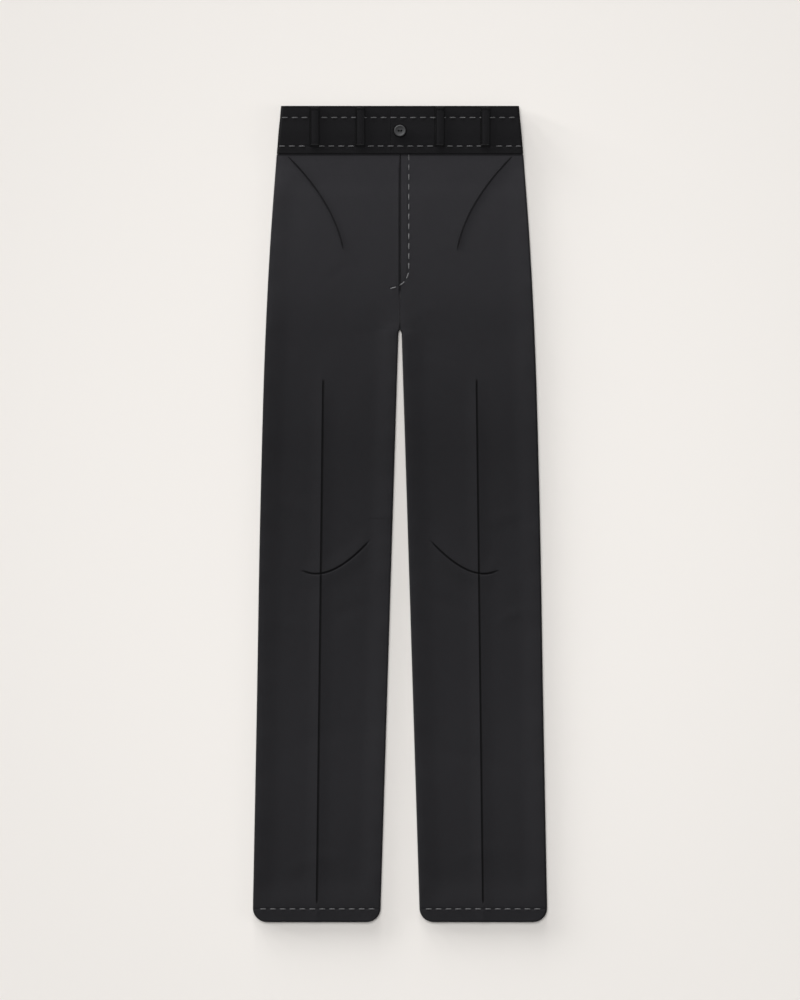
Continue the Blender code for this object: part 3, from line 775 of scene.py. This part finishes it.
def back_panel(label):
    """A back panel. Its outer face is the underside, which rests on the floor."""
    down = back_rows()
    cloth, low = stepped(WALL, down), stepped(BACK_LEVEL, down)
    inner, side_out, run = inner_edge(down), panel_side_edge(down), stepped(SIDE_RUN, down)
    inner_seat = blend(low + cloth, LEG_SEAM - GAP / 2, inseam_share(down))
    side_seat = stepped(SEAM_LEVEL, down) - GAP / 2
    start = roll_grid(inner, inner_seat, low, inner_run(down), cloth, BACK_ANGLES, 1)
    end = roll_grid(side_out, side_seat, low, run, cloth, BACK_ANGLES, -1)
    ends = inner + inner_run(down), crease_out(down), side_out - run
    out = columns_across(*ends, BACK_NEAR, BACK_CREASE, BACK_NEAR, (14, 12))
    under, over = low + back_relief(out, down), np.broadcast_to(low + cloth, out.shape)
    faces = (start[0], (out, under), end[0]), (start[1], (out, over), end[1])
    return panel(f"back_{label}_cloth", SIDES[label], (down, down, down), faces, outline_shade)


def panel_area():
    """Flat area of a panel with its turned-up hem, in square metres."""
    down = np.linspace(BAND_DEPTH - TUCK_DEPTH, LENGTH, 400)
    width = side_edge(np.minimum(down, HEM_TOP)) - inner_edge(np.minimum(down, HEM_TOP))
    body = ((width[1:] + width[:-1]) / 2 * np.diff(down)).sum()
    return (body + HEM_CORNER * width[-1]) * MM * MM


# Waistband and trim


def band_relief(out, down):
    """The waistband swells a little between its rows of stitching, and is drawn in along them."""
    swell = 0.3 * hill(down - sum(BAND_STITCHES) / 2, 19)
    swell = swell + 0.1 * hill(down - 8, 6) - 0.06
    wave = 0.07 * np.sin(math.tau * out / 57) * hill(down - 34, 30)
    pucker = 0.05 * np.sin(math.tau * out / STITCH_PITCH)
    sewn = sum(bell(down - row, 1.4) for row in BAND_STITCHES)
    near = sum(bell(down - row, 4.5) for row in BAND_STITCHES)
    return swell + wave + pucker * near - 0.26 * sewn


def band_lines(x, down, in_front):
    """Painted shade along the band's folds and side edges and, in front, painted shadow beside each belt
    loop and round the button.
    """
    top, low = 1.2 * (1 - ramp(down, 1.0, 2.4)), 0.25 * ramp(down, BAND_DEPTH - 2.0, BAND_DEPTH - 0.8)
    shades = [top, low, 1 - ramp(side_edge(down) - np.abs(x), 1.0, 2.4)]
    if in_front:
        to_button = np.hypot(x, down - BUTTON_DOWN)
        # Painted shadow in a ring round the button.
        shades.append(0.9 * (1 - ramp(to_button, 9.0, 9.9)))
        for spot in LOOP_SPOTS:
            beside = 1 - ramp(np.abs(x - spot) - LOOP_WIDTH / 2, 1.0, 1.7)
            shades.append(np.where(x < spot, *LOOP_PAINTED_SHADOW) * beside * (down < LOOP_END))
    return np.maximum.reduce(shades)


def waistband_section():
    """The band's section once round: distance down, depth under the outer face, share of the relief."""
    low, inside = BAND_DEPTH - BAND_ROUND, BAND_CLOTH - BAND_ROUND
    turn = np.radians(np.linspace(0, 90, 5))[1:-1]
    face, back = np.linspace(BAND_ROUND, low, 56), np.linspace(low, BAND_ROUND, 12)
    corner_down, corner_deep = BAND_ROUND * np.sin(turn), BAND_ROUND * (1 - np.cos(turn))
    parts = [
        (face, 0 * face, np.sin(np.linspace(0, math.pi, face.size)) ** 0.3),
        (low + corner_down, corner_deep, 0 * corner_down),
        ([BAND_DEPTH, BAND_DEPTH], [BAND_ROUND, inside], [0, 0]),
        (low + corner_down[::-1], BAND_CLOTH - corner_deep[::-1], 0 * corner_down),
        (back, BAND_CLOTH + 0 * back, 0 * back),
        (BAND_ROUND - corner_down, BAND_CLOTH - corner_deep, 0 * corner_down),
        ([0, 0], [inside, BAND_ROUND], [0, 0]),
        (BAND_ROUND - corner_down[::-1], corner_deep[::-1], 0 * corner_down),
    ]
    return (np.concatenate(column) for column in zip(*parts))


def waistband_half(label):
    """Half of the waistband, from its front end round the side to the centre back."""
    side = SIDES[label]
    start = -BAND_LAP if side > 0 else BAND_LAP + GAP
    down, depth, relief_share = waistband_section()
    radius = (BAND_TOP - BAND_LOW) / 2
    reach = side_edge(down) - radius
    length = float(reach.min()) - start
    rings, lines = [], []

    def ring(out, height, in_front):
        rings.append(place(out, down, height, side))
        lines.append(band_lines(side * out, down, in_front))

    for distance in [0.0, 0.08, 0.2, BAND_END_ROUND, *np.linspace(1.0, length, 250)]:
        left = 1 - min(distance / BAND_END_ROUND, 1.0)
        trim = BAND_END_ROUND * (1 - math.sqrt(1 - left * left)) * np.where(depth < BAND_CLOTH / 2, 1, -1)
        out = blend(start, reach, distance / length)
        ring(out, BAND_TOP - depth - trim + band_relief(side * out, down) * relief_share, True)
    for turn in np.radians(np.linspace(90, -90, 22)[1:-1]):
        relief = band_relief(side * reach, down) * relief_share * (1 + math.sin(turn)) / 2
        from_middle = radius - depth + relief
        ring(reach + from_middle * math.cos(turn), BAND_LOW + radius + from_middle * math.sin(turn), False)
    for share in np.linspace(0, 1, 90):
        ring(blend(reach, SEAM_GAP / 2, share), BAND_LOW + depth, False)
    return loft(f"waistband_{label}_cloth", rings, lines)


def underlap():
    """The right end of the band runs on under the left one."""
    turn = np.radians(np.linspace(0, 360, 28, endpoint=False))
    along, up = (np.sign(v) * np.abs(v) ** power for v, power in ((np.cos(turn), 0.25), (np.sin(turn), 0.5)))
    top, low = UNDERLAP_DOWN
    down = (top + low) / 2 + (low - top) / 2 * along
    height = (FRONT_TUCK_LOW + FRONT_TUCK_TOP) / 2 + CLOTH / 2 * up
    rings = [place(out + 0 * turn, down, height, -1) for out in np.linspace(*UNDERLAP_OUT, 40)]
    return loft("waistband_underlap", rings, 0.0)


def strip_section(width, thickness, round_by):
    """A folded strip's section: across and up, with round edges, denser on the face."""
    turn = np.radians(np.linspace(0, 90, 6))
    sine, cosine = np.sin(turn), np.cos(turn)
    flat, high = width / 2 - round_by, thickness - round_by
    low = min(round_by, high)
    parts = [
        (np.linspace(-flat, flat, 27), np.full(27, thickness)),
        (flat + round_by * sine[1:], high + round_by * cosine[1:]),
        (flat + round_by * cosine, low - low * sine),
        (np.linspace(flat, -flat, 8)[1:-1], np.zeros(6)),
        (-flat - round_by * sine, low - low * cosine),
        (-flat - round_by * cosine[:-1], high + round_by * sine[:-1]),
    ]
    return (np.concatenate(column) for column in zip(*parts))


def belt_loop(node, thickness, bow, face_up=True):
    """A folded loop with an edge-stitched groove along each side, on the box of its solid, with painted
    shade at its edges and ends.
    """
    low, high = (Vector(corner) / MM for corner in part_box(node))
    width = high.x - low.x
    across, up = strip_section(width, thickness, 0.55)
    face = np.where(up > thickness - 1e-6, 1.0, 0.0)
    swell = 0.16 if face_up else 0.0
    relief = face * (swell * hill(across, 4.6) - 0.2 * bell(np.abs(across) - width * 0.34, 0.6))
    # Painted shade along both edges.
    dark = np.where(across < 0, *LOOP_EDGE_PAINTED_SHADE) * ramp(np.abs(across), width / 2 - 1.7, width / 2 - 1.0)
    middle, length = (low.x + high.x) / 2, high.y - low.y
    rings, lines = [], []
    for share in [0, 0.006, 0.014, *np.linspace(0.03, 0.97, 46), 0.986, 0.994, 1]:
        lift = bow * (1 - (2 * share - 1) ** 4)
        pinch = 1 - 0.4 * (bell(share, 0.012) + bell(1 - share, 0.02))
        height = (up + relief) * pinch
        z = low.z + lift + height if face_up else low.z + thickness - height
        y = high.y - share * length
        rings.append(np.stack([middle + across, y + 0 * across, z], -1) * MM)
        # Painted shade at both ends, most at the top end, which faces the lamps.
        end = 0.8 * (1 - ramp(share, 0.02, 0.07)) + 0.2 * bell(1 - share, 0.03)
        lines.append(np.maximum(dark, end))
    return loft(node + "_cloth", rings, lines)


def surface_of(*pieces):
    """One search tree over the faces of several pieces, in world metres."""
    shape = bmesh.new()
    for piece in pieces:
        shape.from_mesh(piece.data)
    tree = BVHTree.FromBMesh(shape)
    shape.free()
    return tree


def height_on(tree, x, y, from_above=True):
    """Height in millimetres of the outermost face over or under a spot, both in millimetres."""
    start, way = (50.0, -1) if from_above else (-50.0, 1)
    return tree.ray_cast(Vector((x, y, start)) * MM, Vector((0, 0, way)))[0].z / MM


def pocket_welt(label, front):
    """A narrow folded lip along the pocket mouth, laid on the front panel, with painted shade all over."""
    tree, side = surface_of(front), SIDES[label]
    across, up = strip_section(WELT_WIDTH, WELT_CLOTH, 0.45)
    shares = np.linspace(0, 1, 120)
    spots = curve_points(POCKET_MOUTH, shares)
    rings = []
    for share, spot, aside in zip(shares, spots, sideways(spots)):
        narrow = min(1.0, 0.35 + 9 * min(share, 1 - share))
        ring = []
        for a, u in zip(across * narrow, up):
            out, down = spot + a * aside
            base = height_on(tree, side * out, LENGTH / 2 - down)
            ring.append(place(out, down, base + WELT_GAP + u * (0.5 + 0.5 * narrow), side))
        rings.append(ring)
    # The line value 0.25 paints shade over the whole lip.
    return loft(f"pocket_welt_{label}_cloth", rings, 0.25)


# Sewing


def tube(centres, radius, sides=8):
    """Points and faces of a round strand along centres in millimetres."""
    ahead = np.gradient(centres, axis=0)
    ahead /= np.linalg.norm(ahead, axis=1)[:, None]
    aside = np.cross(ahead, (0.0, 0.0, 1.0))
    aside /= np.maximum(np.linalg.norm(aside, axis=1), 1e-6)[:, None]
    over = np.cross(aside, ahead)
    turn = np.linspace(0, math.tau, sides, endpoint=False)
    round_off = np.asarray(radius)[..., None, None] * np.ones((len(centres), 1, 1))
    ring = np.cos(turn)[None, :, None] * aside[:, None] + np.sin(turn)[None, :, None] * over[:, None]
    points = (centres[:, None] + round_off * ring).reshape(-1, 3)
    return points, walls_of(len(centres), sides)[:, [0, 3, 2, 1]]


def join_tubes(name, tubes):
    """One object from many strands."""
    points, walls, offset = [], [], 0
    for strand, faces in tubes:
        points.append(strand)
        walls.append(faces + offset)
        offset += len(strand)
    return close_ends(new_piece(name, np.concatenate(points) * MM, np.concatenate(walls), sharp=80))


def windows_of_five(values):
    """Each value with its two neighbours on either side."""
    return np.lib.stride_tricks.sliding_window_view(np.pad(values, 2, mode="edge"), 5)


def topstitch(name, path, count, tree, from_above=True, skip=(), sunk=0.0):
    """A row of stitches, each two twisted strands that dive into the cloth at both ends.

    path is in millimetres on the floor plan, and skip holds the x of what hides a stitch."""
    path = np.asarray(path, float)
    lengths = np.concatenate([[0], np.cumsum(np.linalg.norm(np.diff(path, axis=0), axis=1))])
    f = np.linspace(0, 1, 15)
    body = np.sin(math.pi * f) ** 0.4
    lift = blend(-0.75, 0.2 - sunk, body)
    strands = []
    for start in np.arange(count) * STITCH_PITCH:
        distance = start + f * min(STITCH, lengths[-1] - start)
        spots = np.stack([np.interp(distance, lengths, path[:, i]) for i in (0, 1)], -1)
        if any(abs(spots[7, 0] - x) < HIDDEN_REACH for x in skip):
            continue
        base = np.array([height_on(tree, x, y, from_above) for x, y in spots])
        base = np.median(windows_of_five(base), axis=1)  # bridges the slit between two pieces
        base = windows_of_five(base).mean(axis=1)
        for strand in (0, 1):
            phase = math.tau * distance / TWIST + strand * math.pi
            lateral = STRAND_SPREAD * np.cos(phase) * blend(0.4, 1.0, body)
            above = lift + 0.5 * STRAND_SPREAD * np.sin(phase)
            x, y = (spots + sideways(spots) * lateral[:, None]).T
            z = base + above if from_above else base - above
            strands.append(tube(np.stack([x, y, z], -1), STRAND * blend(0.75, 1.0, body)))
    return join_tubes(name, strands)


def bar_tack(x, y, height):
    """One thin thread that runs to and fro over a short line."""
    phase = np.linspace(0, math.tau * TACK_TURNS, TACK_TURNS * 8 + 1)
    across = x + TACK_LENGTH * (phase / phase[-1] - 0.5)
    down = y + TACK_WIDTH / 2 * np.sin(phase)
    up = height + 0.16 * np.abs(np.cos(phase)) + 0.04
    return tube(np.stack([across, down, up], -1), 0.2, sides=6)


# Button


def button():
    """A button with a raised rim, a dish and two flared holes, and its centre and its underside's height."""
    low, high = (Vector(corner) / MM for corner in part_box("button"))
    centre = (low + high) / 2
    centre.y = LENGTH / 2 - BUTTON_DOWN
    shape = bmesh.new()
    points = [shape.verts.new((radius, 0, height)) for radius, height in BUTTON_PROFILE]
    edges = [shape.edges.new(pair) for pair in zip(points, points[1:])]
    turn = {"cent": (0, 0, 0), "axis": (0, 0, 1), "angle": math.tau, "steps": 32}
    bmesh.ops.spin(shape, geom=points + edges, use_merge=True, **turn)
    bmesh.ops.remove_doubles(shape, verts=shape.verts, dist=1e-4)
    bmesh.ops.recalc_face_normals(shape, faces=shape.faces)
    mesh = bpy.data.meshes.new("button_disc")
    shape.to_mesh(mesh)
    shape.free()
    disc = new_object("button_disc", mesh)
    rounded = disc.modifiers.new("smooth", "SUBSURF")
    rounded.levels = rounded.render_levels = 2
    drills = [hole_drill(out) for out in (-HOLE_OUT, HOLE_OUT)]
    for drill in drills:
        cut = disc.modifiers.new("hole", "BOOLEAN")
        cut.operation = "DIFFERENCE"
        cut.object = drill
    scene_graph = bpy.context.evaluated_depsgraph_get()
    mesh = bpy.data.meshes.new_from_object(disc.evaluated_get(scene_graph))
    for helper in (disc, *drills):
        bpy.data.objects.remove(helper, do_unlink=True)
    mesh.transform(Matrix.Translation(Vector((centre.x, centre.y, low.z)) * MM) @ Matrix.Scale(MM, 4))
    smooth(mesh, 35)
    return new_object("button_disc", mesh), centre, low.z


def hole_drill(out):
    """A cutter that is round below and flares where it meets the button's dish."""
    turn = np.radians(np.linspace(0, 360, 40, endpoint=False))
    x, y = np.cos(turn), np.sin(turn)
    return loft("hole_drill", [np.stack([out + r * x, r * y, z + 0 * turn], -1) for r, z in HOLE_PROFILE])


def button_thread(centre, low):
    """Strands between the two holes, over the bridge, and a wrapped shank under the button."""
    strands = []
    f = np.linspace(-1, 1, 25)
    arch = 0.22 * np.cos(f * math.pi / 2)
    for number, aside in enumerate((-0.5, -0.17, 0.18, 0.52)):
        x = centre.x + 2.05 * f * (1 - 0.03 * number)
        y = centre.y + aside * (1 - 0.35 * f**4)
        z = low + 1.65 + arch - 2.6 * np.maximum(np.abs(f) - 0.72, 0) ** 1.3
        strands.append(tube(np.stack([x, y, z], -1), 0.19))
    turns = np.linspace(0, math.tau * 3, 60)
    x, y = centre.x + 1.7 * np.cos(turns), centre.y + 0.9 * np.sin(turns)
    strands.append(tube(np.stack([x, y, low - 0.25 + turns * 0.02], -1), 0.2))
    return join_tubes("button_thread", strands)


# Finishes


def dye(tone, cast=CHARCOAL):
    """A tone of 255, as seen, to red, green, blue and alpha. Some of the tones given to it are painted light
    and shade.
    """
    linear = ((tone / 255 + 0.055) / 1.055) ** 2.4
    return (*(linear * part for part in cast), 1)


def feed(socket, value):
    """Sets a node's input to a value, or links it to another node's output."""
    if isinstance(value, bpy.types.NodeSocket):
        socket.id_data.links.new(value, socket)
    else:
        socket.default_value = value


def set_inputs(node, values):
    """Feeds a node's inputs by their names, with _ for a space."""
    for label, value in values.items():
        feed(node.inputs[label.replace("_", " ")], value)
    return node


def add_node(tree, kind, **values):
    return set_inputs(tree.nodes.new("ShaderNode" + kind), values)


def add_group(tree, group, **values):
    node = add_node(tree, "Group")
    node.node_tree = group
    return set_inputs(node, values).outputs


def object_spot(tree):
    """The place on the object, as a vector and as its three parts."""
    spot = add_node(tree, "TexCoord").outputs["Object"]
    return spot, add_node(tree, "SeparateXYZ", Vector=spot).outputs


def bump(tree, height, strength, distance):
    return add_node(tree, "Bump", Height=height, Strength=strength, Distance=distance).outputs["Normal"]


def sums(tree):
    """A short way to write a sum in a node tree: do("ADD", a, b), where a and b are sockets or numbers."""

    def do(operation, *values):
        node = add_node(tree, "Math")
        node.operation = operation
        for socket, value in zip(node.inputs, values):
            feed(socket, value)
        return node.outputs[0]

    return do


def new_group(name, inputs, outputs):
    """A shader node group with float inputs and outputs: its tree, what comes in and what goes out."""
    tree = bpy.data.node_groups.new(name, "ShaderNodeTree")
    for label, value in inputs.items():
        socket = tree.interface.new_socket(label, in_out="INPUT", socket_type="NodeSocketFloat")
        socket.default_value = value
    for label in outputs:
        tree.interface.new_socket(label, in_out="OUTPUT", socket_type="NodeSocketFloat")
    return tree, tree.nodes.new("NodeGroupInput").outputs, tree.nodes.new("NodeGroupOutput").inputs


def twill_weave_group():
    """Slanting ribs crossed by yarns: a height from 0 to 1, and a tone that dips between the ribs, as
    painted light and shade of the weave's relief.
    """
    inputs = {"Rib Pitch": RIB_PITCH, "Slant": 1.05}
    tree, given, gives = new_group("twill weave", inputs, ("Height", "Tone"))
    do = sums(tree)
    spot, (x, y, _) = object_spot(tree)
    drift = add_node(tree, "TexNoise", Vector=spot, Scale=90, Detail=1).outputs[0]
    pitch, slant = given["Rib Pitch"], given["Slant"]
    sine, cosine = do("SINE", slant), do("COSINE", slant)
    across = do("SUBTRACT", do("MULTIPLY", x, sine), do("MULTIPLY", y, cosine))
    along = do("ADD", do("MULTIPLY", x, cosine), do("MULTIPLY", y, sine))
    ribs = do("MULTIPLY", do("DIVIDE", across, pitch), math.tau)
    phase = do("ADD", ribs, do("MULTIPLY", drift, 5.0))
    rib = do("MULTIPLY_ADD", do("SINE", phase), 0.5, 0.5)
    yarns = do("MULTIPLY", do("DIVIDE", along, pitch), math.tau * 0.62)
    yarn = do("MULTIPLY_ADD", do("SINE", do("ADD", yarns, do("MULTIPLY", phase, 0.5))), 0.5, 0.5)
    height = do("MULTIPLY_ADD", do("MULTIPLY", rib, yarn), 0.45, do("MULTIPLY", rib, 0.55))
    feed(gives["Height"], height)
    # The tone follows the height: painted light on the ribs and painted shade between them.
    feed(gives["Tone"], do("MULTIPLY_ADD", height, 0.5, 0.75))
    return tree


def yarn_tone_group():
    """Uneven yarns, as faint streaks along the leg, and broad mottling where the cloth took the dye."""
    tree, given, gives = new_group("yarn tone", {"Streaks": 0.12, "Mottling": 0.06}, ("Tone", "Nap"))
    do = sums(tree)
    spot = add_node(tree, "TexCoord").outputs["Object"]

    def noise(scale, detail, stretch=(1, 1, 1)):
        stretched = add_node(tree, "Mapping", Vector=spot, Scale=stretch).outputs["Vector"]
        cloud = add_node(tree, "TexNoise", Vector=stretched, Scale=scale, Detail=detail)
        return do("SUBTRACT", cloud.outputs[0], 0.5)

    streaks = do("MULTIPLY", noise(900, 2, (1, 0.045, 1)), given["Streaks"])
    mottling = do("MULTIPLY", noise(22, 3), given["Mottling"])
    feed(gives["Tone"], do("ADD", do("ADD", streaks, mottling), 1.0))
    feed(gives["Nap"], do("ADD", noise(4200, 2), 0.5))
    return tree


def painted_shade_lines_group():
    """Painted shade, read from the line attribute: darker in creases, folds and seams, at rolled edges and
    round the trim.
    """
    tree, given, gives = new_group("painted shade lines", {"Darkening": 0.7}, ("Tone",))
    do = sums(tree)
    line = add_node(tree, "Attribute")
    line.attribute_name = "line"
    feed(gives["Tone"], do("SUBTRACT", 1.0, do("MULTIPLY", line.outputs["Fac"], given["Darkening"])))
    return tree


def new_material(name, **values):
    material = bpy.data.materials.new(name)
    material.use_nodes = True
    tree = material.node_tree
    return material, tree, set_inputs(tree.nodes["Principled BSDF"], values)


def down_tone(tree, tones):
    """The tone at a distance down the garment, as a colour ramp over the object's own length: painted light
    and shade.
    """
    half = LENGTH / 2 * MM
    along = object_spot(tree)[1]["Y"]
    share = add_node(tree, "MapRange", Value=along, From_Min=half, From_Max=-half).outputs["Result"]
    shades = add_node(tree, "ValToRGB", Fac=share)
    points = shades.color_ramp.elements
    for point, (down, tone) in zip(points, (tones[0], tones[-1])):
        point.position = down / LENGTH
        point.color = dye(tone)
    for down, tone in tones[1:-1]:
        points.new(down / LENGTH).color = dye(tone)
    return shades.outputs["Color"]


def tint(tree, colour, *tones):
    """The colour, which may be a socket, times each tone."""
    for tone in tones:
        mix = add_node(tree, "Mix", Factor=1)
        mix.data_type = "RGBA"
        mix.blend_type = "MULTIPLY"
        feed(mix.inputs[6], colour)
        feed(mix.inputs[7], tone)
        colour = mix.outputs[2]
    return colour


def twill(name, groups, colour, darkening=0.7):
    """Cotton twill. colour is a tone of 255, or a table of tones down the garment. darkening sets how dark
    its painted shade lines are.
    """
    sheen = {"Sheen_Weight": 0.05, "Sheen_Roughness": 0.4}
    material, tree, shader = new_material(name, Roughness=0.88, Specular_IOR_Level=0.08, **sheen)
    do = sums(tree)
    weave = add_group(tree, groups["weave"], Rib_Pitch=RIB_PITCH)
    yarn = add_group(tree, groups["yarn"])
    lines = add_group(tree, groups["lines"], Darkening=darkening)
    base = down_tone(tree, colour) if isinstance(colour, tuple) else dye(colour)
    height = do("ADD", weave["Height"], do("MULTIPLY", yarn["Nap"], 0.5))
    looks = {
        # The weave's tone is painted light and shade on the ribs, and the lines' tone is painted shade; the
        # yarn's tone is the cloth's own.
        "Base_Color": tint(tree, base, weave["Tone"], yarn["Tone"], lines["Tone"]),
        "Roughness": do("MULTIPLY_ADD", yarn["Nap"], 0.16, 0.8),
        "Normal": bump(tree, height, 0.5, 0.12 * MM),
    }
    set_inputs(shader, looks)
    return material


def thread(name, groups, tone):
    """Cotton thread, glazed where it is pale, with the hairs and dips of its plies."""
    shine = 0.25 if tone > BAND_TONE else 0.06
    values = {"Roughness": 0.6, "Sheen_Weight": 0.8 * shine, "Specular_IOR_Level": shine}
    material, tree, shader = new_material(name, **values)
    yarn = add_group(tree, groups["yarn"], Streaks=0.25, Mottling=0.2)
    looks = {
        "Base_Color": tint(tree, dye(tone, COTTON), yarn["Tone"]),
        "Roughness": sums(tree)("MULTIPLY_ADD", yarn["Nap"], 0.2, 0.5),
        "Normal": bump(tree, yarn["Nap"], 0.4, 0.1 * MM),
    }
    set_inputs(shader, looks)
    return material


def resin(name, centre, tone):
    """Dark resin with faint cloudy swirls, and painted shade round the outside of the rim."""
    material, tree, shader = new_material(name, Roughness=0.5, Specular_IOR_Level=0.25)
    do = sums(tree)
    spot, axes = object_spot(tree)
    x, y = do("SUBTRACT", axes["X"], centre.x * MM), do("SUBTRACT", axes["Y"], centre.y * MM)
    radius = do("SQRT", do("ADD", do("MULTIPLY", x, x), do("MULTIPLY", y, y)))
    off_rim = do("DIVIDE", do("SUBTRACT", radius, RIM_SHADE[0]), RIM_SHADE[1])
    rim = do("EXPONENT", do("MULTIPLY", do("MULTIPLY", off_rim, off_rim), -1.0))
    cloud = add_node(tree, "TexNoise", Vector=spot, Scale=240, Distortion=1.2).outputs[0]
    # The rim term is painted shade over the rim's lit outer edge; the cloud is the resin's own swirl.
    shade = do("SUBTRACT", do("MULTIPLY_ADD", cloud, 0.4, 0.9), do("MULTIPLY", rim, 0.6))
    looks = {"Base_Color": tint(tree, dye(tone, RESIN), shade)}
    set_inputs(shader, {**looks, "Roughness": do("MULTIPLY_ADD", cloud, 0.2, 0.42)})
    return material


def floor_material():
    """Pale, warm card, with painted light that makes it a little lighter round the garment."""
    material, tree, shader = new_material("floor_card", Roughness=0.95, Specular_IOR_Level=0.0)
    spot = add_node(tree, "TexCoord").outputs["Object"]
    centred = add_node(tree, "Mapping", Vector=spot, Location=(0, -0.12, 0), Scale=(1.25, 1, 1))
    away = add_node(tree, "VectorMath")
    away.operation = "LENGTH"
    feed(away.inputs[0], centred.outputs["Vector"])
    # Painted light: brighter near the garment, falling off outwards.
    fall = add_node(tree, "MapRange", From_Min=0.35, From_Max=1.08, To_Min=1.0, To_Max=0.94)
    fall.interpolation_type = "SMOOTHSTEP"
    feed(fall.inputs["Value"], away.outputs["Value"])
    feed(shader.inputs["Base Color"], tint(tree, (0.862, 0.831, 0.797, 1), fall.outputs["Result"]))
    return material


# Floor, light and camera


def make_floor():
    mesh = bpy.data.meshes.new("floor")
    mesh.from_pydata([(-12, -12, 0), (12, -12, 0), (12, 12, 0), (-12, 12, 0)], [], [(0, 1, 2, 3)])
    mesh.materials.append(floor_material())
    floor = new_object("floor", mesh)
    floor.location.z = -0.2 * MM


def softbox(name, azimuth, elevation, softness, share):
    """A far light that gives the floor a share of its light. Azimuth 0 comes from +Y, and 90 from -X."""
    light = bpy.data.lights.new(name, "SUN")
    a, e = math.radians(azimuth), math.radians(elevation)
    light.energy = share * FLOOR_LIGHT * math.pi / math.sin(e)
    light.angle = math.radians(softness)
    came_from = Vector((-math.sin(a) * math.cos(e), math.cos(a) * math.cos(e), math.sin(e)))
    new_object(name, light).rotation_euler = came_from.to_track_quat("Z", "Y").to_euler()


def make_lights():
    """A wide softbox overhead, and lower ones beyond the waist that draw the long soft shadow."""
    world = bpy.data.worlds.new("studio")
    world.use_nodes = True
    sky = {"Color": (1.0, 0.99, 0.98, 1), "Strength": SKY_SHARE * FLOOR_LIGHT}
    set_inputs(world.node_tree.nodes["Background"], sky)
    bpy.context.scene.world = world
    softbox("softbox_over", WAIST_SIDE, 68, 50, 0.53)
    softbox("softbox_middle", 0, 16, 16, 0.06)
    for number, (turn, part) in enumerate(LOW_FAN):
        softbox(f"softbox_low_{number}", WAIST_SIDE + turn, 7.5, 12, 0.10 * part)
        softbox(f"softbox_lowest_{number}", WAIST_SIDE + turn, 4.1, 8, 0.13 * part)
    softbox("softbox_fill", -90, 12, 16, 0.035)
    bpy.context.scene.view_settings.view_transform = "Standard"


def make_camera():
    """Straight above the garment, so that the photograph's frame holds it as the photograph does."""
    camera = bpy.data.cameras.new("camera")
    camera.lens = 400  # as flat as the drawing
    distance = PICTURE_ROWS * PIXEL * MM * camera.lens / camera.sensor_width
    view = new_object("camera", camera)
    view.location = (0, PICTURE_SHIFT * PIXEL * MM, distance + PICTURE_PLANE * MM)
    bpy.context.scene.camera = view


# The garment


def make_garment():
    groups = {"weave": twill_weave_group(), "yarn": yarn_tone_group(), "lines": painted_shade_lines_group()}
    # body_twill's tones down the garment are painted light and shade.
    body = twill("body_twill", groups, TWILL_TONES_WITH_PAINTED_SHADE)
    band = twill("waistband_twill", groups, BAND_TONE, darkening=0.75)
    # The welt's darker tone is painted shade of the pocket mouth.
    lip = twill("welt_twill", groups, WELT_PAINTED_SHADE_TONE)
    threads = {use: thread(use + "_thread", groups, tone) for use, tone in THREAD_TONES.items()}

    panel_cut = (side_edge(HEM_TOP) - GAP / 2, LENGTH - BAND_DEPTH + TUCK_DEPTH + HEM_CORNER)
    fronts, backs, bands = {}, {}, {}
    for label in SIDES:
        back = finish_piece(back_panel(label), body, f"back_{label}")
        panel_area()
        front = finish_piece(front_panel(label), body, f"front_{label}")
        panel_area()
        fronts[label], backs[label] = front, back
        bands[label] = finish_piece(waistband_half(label), band, f"waistband_{label}")
    tongue = finish_piece(underlap(), band)
    band_width = side_edge(BAND_DEPTH / 2) + (BAND_TOP - BAND_LOW) / 2 + side_edge(BAND_DEPTH / 2)

    loops = []
    for number in range(1, 5):
        node = f"belt_loop_front_{number}"
        loop = belt_loop(node, FRONT_LOOP_CLOTH, FRONT_LOOP_BOW)
        loops.append(finish_piece(loop, band, node))
    for label in ("right", "centre", "left"):
        node = f"belt_loop_back_{label}"
        loop = belt_loop(node, BACK_LOOP_TOP, 0, face_up=False)
        finish_piece(loop, band, node)
    for label in SIDES:
        welt = finish_piece(pocket_welt(label, fronts[label]), lip, f"pocket_welt_{label}")

    sew(fronts, backs, bands, loops, threads)

    disc, centre, low = button()
    finish_piece(disc, resin("button_resin", centre, RESIN_TONE), "button")
    finish_piece(button_thread(centre, low), threads["tack"])


def sew(fronts, backs, bands, loops, threads):
    """All the rows of stitching, and the bar tacks that hold the belt loops."""
    top = surface_of(*fronts.values(), *bands.values())
    under = surface_of(*backs.values(), *bands.values())

    def row(name, use, path, count, tree=top, **more):
        path = [(out, LENGTH / 2 - down) for out, down in path]
        stitches = topstitch("stitches_" + name, path, count, tree, tree is top, **more)
        finish_piece(stitches, threads[use])

    for label, down, start, count, hidden in WAIST_ROWS:
        row(f"waist_{label}", "waist", [(start, down), (-start, down)], count, skip=hidden)
        path = [(BACK_ROW_START, down), (-BACK_ROW_START, down)]
        row(f"waist_{label}_back", "waist", path, BACK_ROW_STITCHES, under, skip=BACK_LOOP_SPOTS)
    for label, start in HEM_ROW_STARTS.items():
        path = [(out, HEM_STITCH_DOWN) for out in (start, start + HEM_ROW_LENGTH)]
        row(f"hem_{label}", "hem", path, HEM_ROW_STITCHES)
        row(f"hem_{label}_back", "hem", path, HEM_ROW_STITCHES, under, sunk=HEM_BACK_SUNK)
    row("fly", "fly", fly_stitch_path(), FLY_STITCHES)
    on_loops = surface_of(*loops)
    ends = [(x, LENGTH / 2 - down) for x in LOOP_SPOTS for down in TACKS_DOWN]
    tacks = [bar_tack(x, y, height_on(on_loops, x, y)) for x, y in ends]
    finish_piece(join_tubes("bar_tacks", tacks), threads["tack"])


make_camera()
make_lights()
make_floor()
make_garment()
